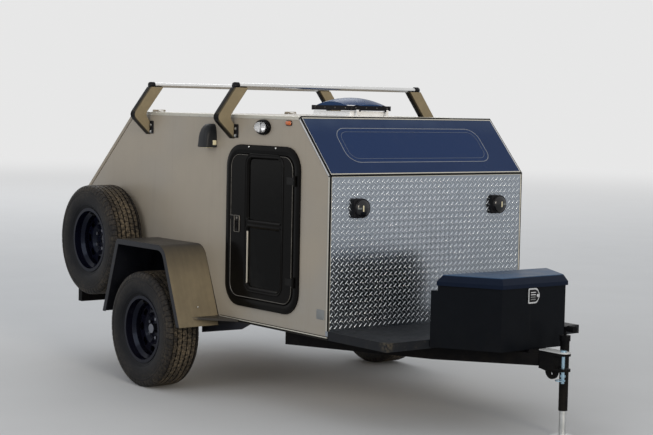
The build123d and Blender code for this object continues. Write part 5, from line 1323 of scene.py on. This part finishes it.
class TRAILER_OT_fittings(bpy.types.Operator):
    """Fasteners, window outline, base trims, plate, latch face, vent screws, hitch clip and valve stems"""

    bl_idname = "trailer.fittings"
    bl_label = "Small fittings"

    def execute(self, context):
        for make in (
            self.slope_window, self.base_trims, self.blank_plate, self.box_latch, self.vent, self.fasteners,
            self.hatch_locks, self.hitch_clip, self.valves,
        ):
            make()
        return {"FINISHED"}

    def slope_window(self):
        """Two thin outlines set in the slope: one at the glass's edge and one a little inside it."""
        up = unit(SLOPE_FOLD - KNEE_FOLD)
        surface = Surface()
        for number, (wide, tall, radius) in enumerate(((1.138, 0.268, 0.085), (1.082, 0.212, 0.060))):
            line = stacked(rounded(wide, tall, radius, 10), WINDOW_LINE)
            axes = (Y, up, np.cross(Y, up))
            surface.skin(line, KNEE_FOLD + up * 0.230, axes, joined=True, finish=number)
        surface.piece("slope_window_outline", "chassis", "smoked_glass", ["seal grey", "slope line"])

    def base_trims(self):
        """A bright bead on a dark strip along each wall's foot, either side of the fender, and a near-black
         sheet on the wall inside the fender: painted shade where the fender shades the wall."""
        trims = Surface()
        arch_shade_sheet = np.array([(-1.153, 0.0), (-0.218, 0.0), (-0.385, 0.400), (-0.470, 0.446), (-0.985, 0.446)])
        for side in SIDES.values():
            place, axes = wall_frame(side)
            for rear, front in ((REAR + 0.03, FENDER_REAR), (FENDER_FRONT, FRONT)):
                path = place + np.array([[rear, 0, FLOOR], [front, 0, FLOOR]])
                for number, section in enumerate((BASE_BEAD, BASE_STRIP)):
                    trims.skin(along_path(section, path, axes[2], Z), finish=number)
            # Painted shade: a near-black sheet where the wall lies in the fender's shadow
            trims.block(arch_shade_sheet + [0.0, FLOOR], 0.0015, place, axes, soft=0.0005, finish=2)
        kinds = ["trim metal", "seal rubber", "frame paint"]
        trims.piece("base_edge_trims", "chassis", "bar_aluminium", kinds)

    def blank_plate(self):
        """The blank plate on the right wall, with a screw at each corner."""
        plate = Surface()
        place, axes = wall_frame(SIDES["right"])
        middle = np.array([FRONT - 0.071, FLOOR + 0.142])
        plate.block(rounded(0.076, 0.058, 0.004) + middle, 0.0018, place, axes, soft=0.0006)
        face = place + axes[2] * 0.0018 + [middle[0], 0, middle[1]]
        corners = [face + [a, 0, b] for a in (-0.032, 0.032) for b in (-0.023, 0.023)]
        plate.bolts(corners, axes[2], 0.0025, "button", 1)
        plate.piece("blank_plate", "chassis", "zinc", ["plate grey", "bolt steel"])

    def box_latch(self):
        """The latch's recessed dark face, its ribs, a folded paddle and a lock barrel, on the box's front."""
        base = np.array([high("box_latch")[0], *middle_of("box_latch")[1:]])
        axes = (Y, Z, X)
        face = Surface()
        outline = rounded(0.072, 0.070, (0.032, 0.004, 0.004, 0.032))
        face.block(outline, 0.0012, base, axes, foot=-0.003, soft=0.0004)
        for rise, kind in ((-0.020, 1), (-0.007, 1), (0.006, 2), (0.019, 2)):
            rib = rounded(0.038, 0.005, 0.0022) + [-0.009, rise]
            face.block(rib, 0.0038, base, axes, foot=-0.002, soft=0.001, finish=kind)
        barrel = [(0.009, -0.002), (0.009, 0.006), (0.0075, 0.0075)]
        face.turned(barrel, 20, base + Y * 0.024, axes, finish=2)
        kinds = ["black moulding", "plate grey", "polished"]
        face.piece("box_latch_face", "chassis", "latch_metal", kinds)

    def vent(self):
        """Screws along the lid's skirt and the base's flange, riding lid and cabin."""
        middle = middle_of("vent_dome")[0]
        half = np.array([high("vent_dome")[0] - middle + 0.006, high("vent_lid")[1]])
        height = high("vent_lid")[2] - 0.013
        steps = np.linspace(-0.75, 0.75, 4)
        skirt = Surface()
        for way in (-1, 1):
            for out, spots in ((Y, [(t, way) for t in steps]), (X, [(way, t) for t in steps])):
                places = [(middle + a * half[0], b * half[1], height) for a, b in spots]
                skirt.bolts(places, out * way, 0.0042, "button")
        skirt.piece("vent_lid_screws", "vent", "zinc", ["edge metal"])
        half = np.array([0.207, high("vent_base")[1] - 0.010])
        steps = np.linspace(-1, 1, 5)
        spots = [(t, way) for t in steps for way in (-1, 1)]
        spots += [(way, t) for t in steps[1:-1] for way in (-1, 1)]
        places = [(middle + a * half[0], b * half[1], ROOF + 0.008) for a, b in spots]
        flange = Surface()
        flange.bolts(places, Z, 0.0045, "button")
        flange.piece("vent_base_screws", "chassis", "zinc", ["bolt steel"])

    def fasteners(self):
        """Hex bolts at the rack's feet, a screw on each fender, and screws along the roof and front trims."""
        surface, screws = Surface(), Surface()
        reach = np.arange(ROOF_REAR + 0.1, SLOPE_TOP - 0.03, 0.12)
        rise = np.arange(DECK + 0.05, KNEE - 0.03, 0.12)
        for side in SIDES.values():
            out = Y * side
            feet = [(x, side * (HALF + 0.006), z) for x in FOOT_BOLTS_X for z in FOOT_BOLTS_Z]
            surface.bolts(feet, out, 0.0085)
            surface.bolts([(-0.243, side * 0.9075, 0.558)], [1, 0, 0.35], 0.0055, "button")
            screws.bolts([(x, side * (HALF + 0.003), ROOF - 0.014) for x in reach], out, 0.0035, "button")
            screws.bolts([(FRONT + 0.003, side * (HALF - 0.014), z) for z in rise], X, 0.0035, "button")
        surface.piece("frame_bolts", "chassis", "zinc", ["bolt steel"])
        screws.piece("trim_screws", "chassis", "zinc", ["bolt steel"])

    def hatch_locks(self):
        """Two lock barrels, each on a small plate, near the hatch's lower edge."""
        surface = Surface()
        axes = (Y, Z, -X)
        for away in (-0.55, 0.55):
            base = np.array([REAR - 0.001, away, HATCH_FOOT + 0.075])
            surface.block(rounded(0.070, 0.044, 0.008), 0.006, base, axes)
            surface.turned([(0.011, 0.0), (0.011, 0.013), (0.009, 0.015)], 24, base, axes, finish=1)
        surface.piece("hatch_locks", "hatch", "latch_metal", ["black moulding", "polished"])

    def hitch_clip(self):
        """A spring clip through the hitch pin: a wire along a circle that stops short of closing."""
        middle = middle_of("hitch_pin")
        t = np.linspace(0, 1.85 * pi, 22)
        path = np.stack([np.cos(t) * 0.026, np.sin(t) * 0.026 - 0.020, np.zeros_like(t)], -1)
        path = path + [middle[0], middle[1], low("hitch_pin")[2] + 0.018]
        across = unit(np.cross(np.gradient(path, axis=0), Z))
        surface = Surface()
        surface.skin(along_path(circle(0.0028, 8), path, across, Z))
        surface.piece("hitch_clip", "chassis", "zinc", ["blue zinc"])

    def valves(self):
        """A valve stem and its cap on each rim, leaning outward."""
        for _, name, _, body, centre, side in WHEELS:
            lean = unit(np.array([0.0, side * 0.9, 0.35]))
            surface = Surface()
            foot = centre + np.array([0.0, side * 0.052, 0.168])
            surface.turned(VALVE_STEM, 14, foot, (X, np.cross(lean, X), lean))
            surface.piece(name, body, "tyre_rubber", ["seal rubber"])


class TRAILER_PT_panel(bpy.types.Panel):
    """Lists the trailer's pieces and settings"""

    bl_label = "Trailer"
    bl_idname = "TRAILER_PT_panel"
    bl_space_type = "VIEW_3D"
    bl_region_type = "UI"
    bl_category = "Trailer"

    def draw(self, context):
        for kind in OPERATORS:
            self.layout.operator(kind.bl_idname)
        for group in SETTINGS:
            settings = getattr(context.scene, group)
            for name in settings.__annotations__:
                self.layout.prop(settings, name)


OPERATORS = [
    TRAILER_OT_stage, TRAILER_OT_finishes, TRAILER_OT_tyres, TRAILER_OT_edge_trims, TRAILER_OT_tread_bars,
    TRAILER_OT_doors, TRAILER_OT_lamps, TRAILER_OT_arms, TRAILER_OT_fittings,
]
SETTINGS = {"trailer_paint": TrailerPaint, "trailer_sizes": TrailerSizes, "trailer_view": TrailerView}


def register():
    for kind in [*SETTINGS.values(), *OPERATORS, TRAILER_PT_panel]:
        bpy.utils.register_class(kind)
    for name, kind in SETTINGS.items():
        setattr(bpy.types.Scene, name, bpy.props.PointerProperty(type=kind))


def unregister():
    for name in SETTINGS:
        delattr(bpy.types.Scene, name)
    for kind in reversed([*SETTINGS.values(), *OPERATORS, TRAILER_PT_panel]):
        bpy.utils.unregister_class(kind)


def main():
    register()
    for kind in OPERATORS:
        group, name = kind.bl_idname.split(".")
        getattr(getattr(bpy.ops, group), name)()


if __name__ == "__main__":
    main()
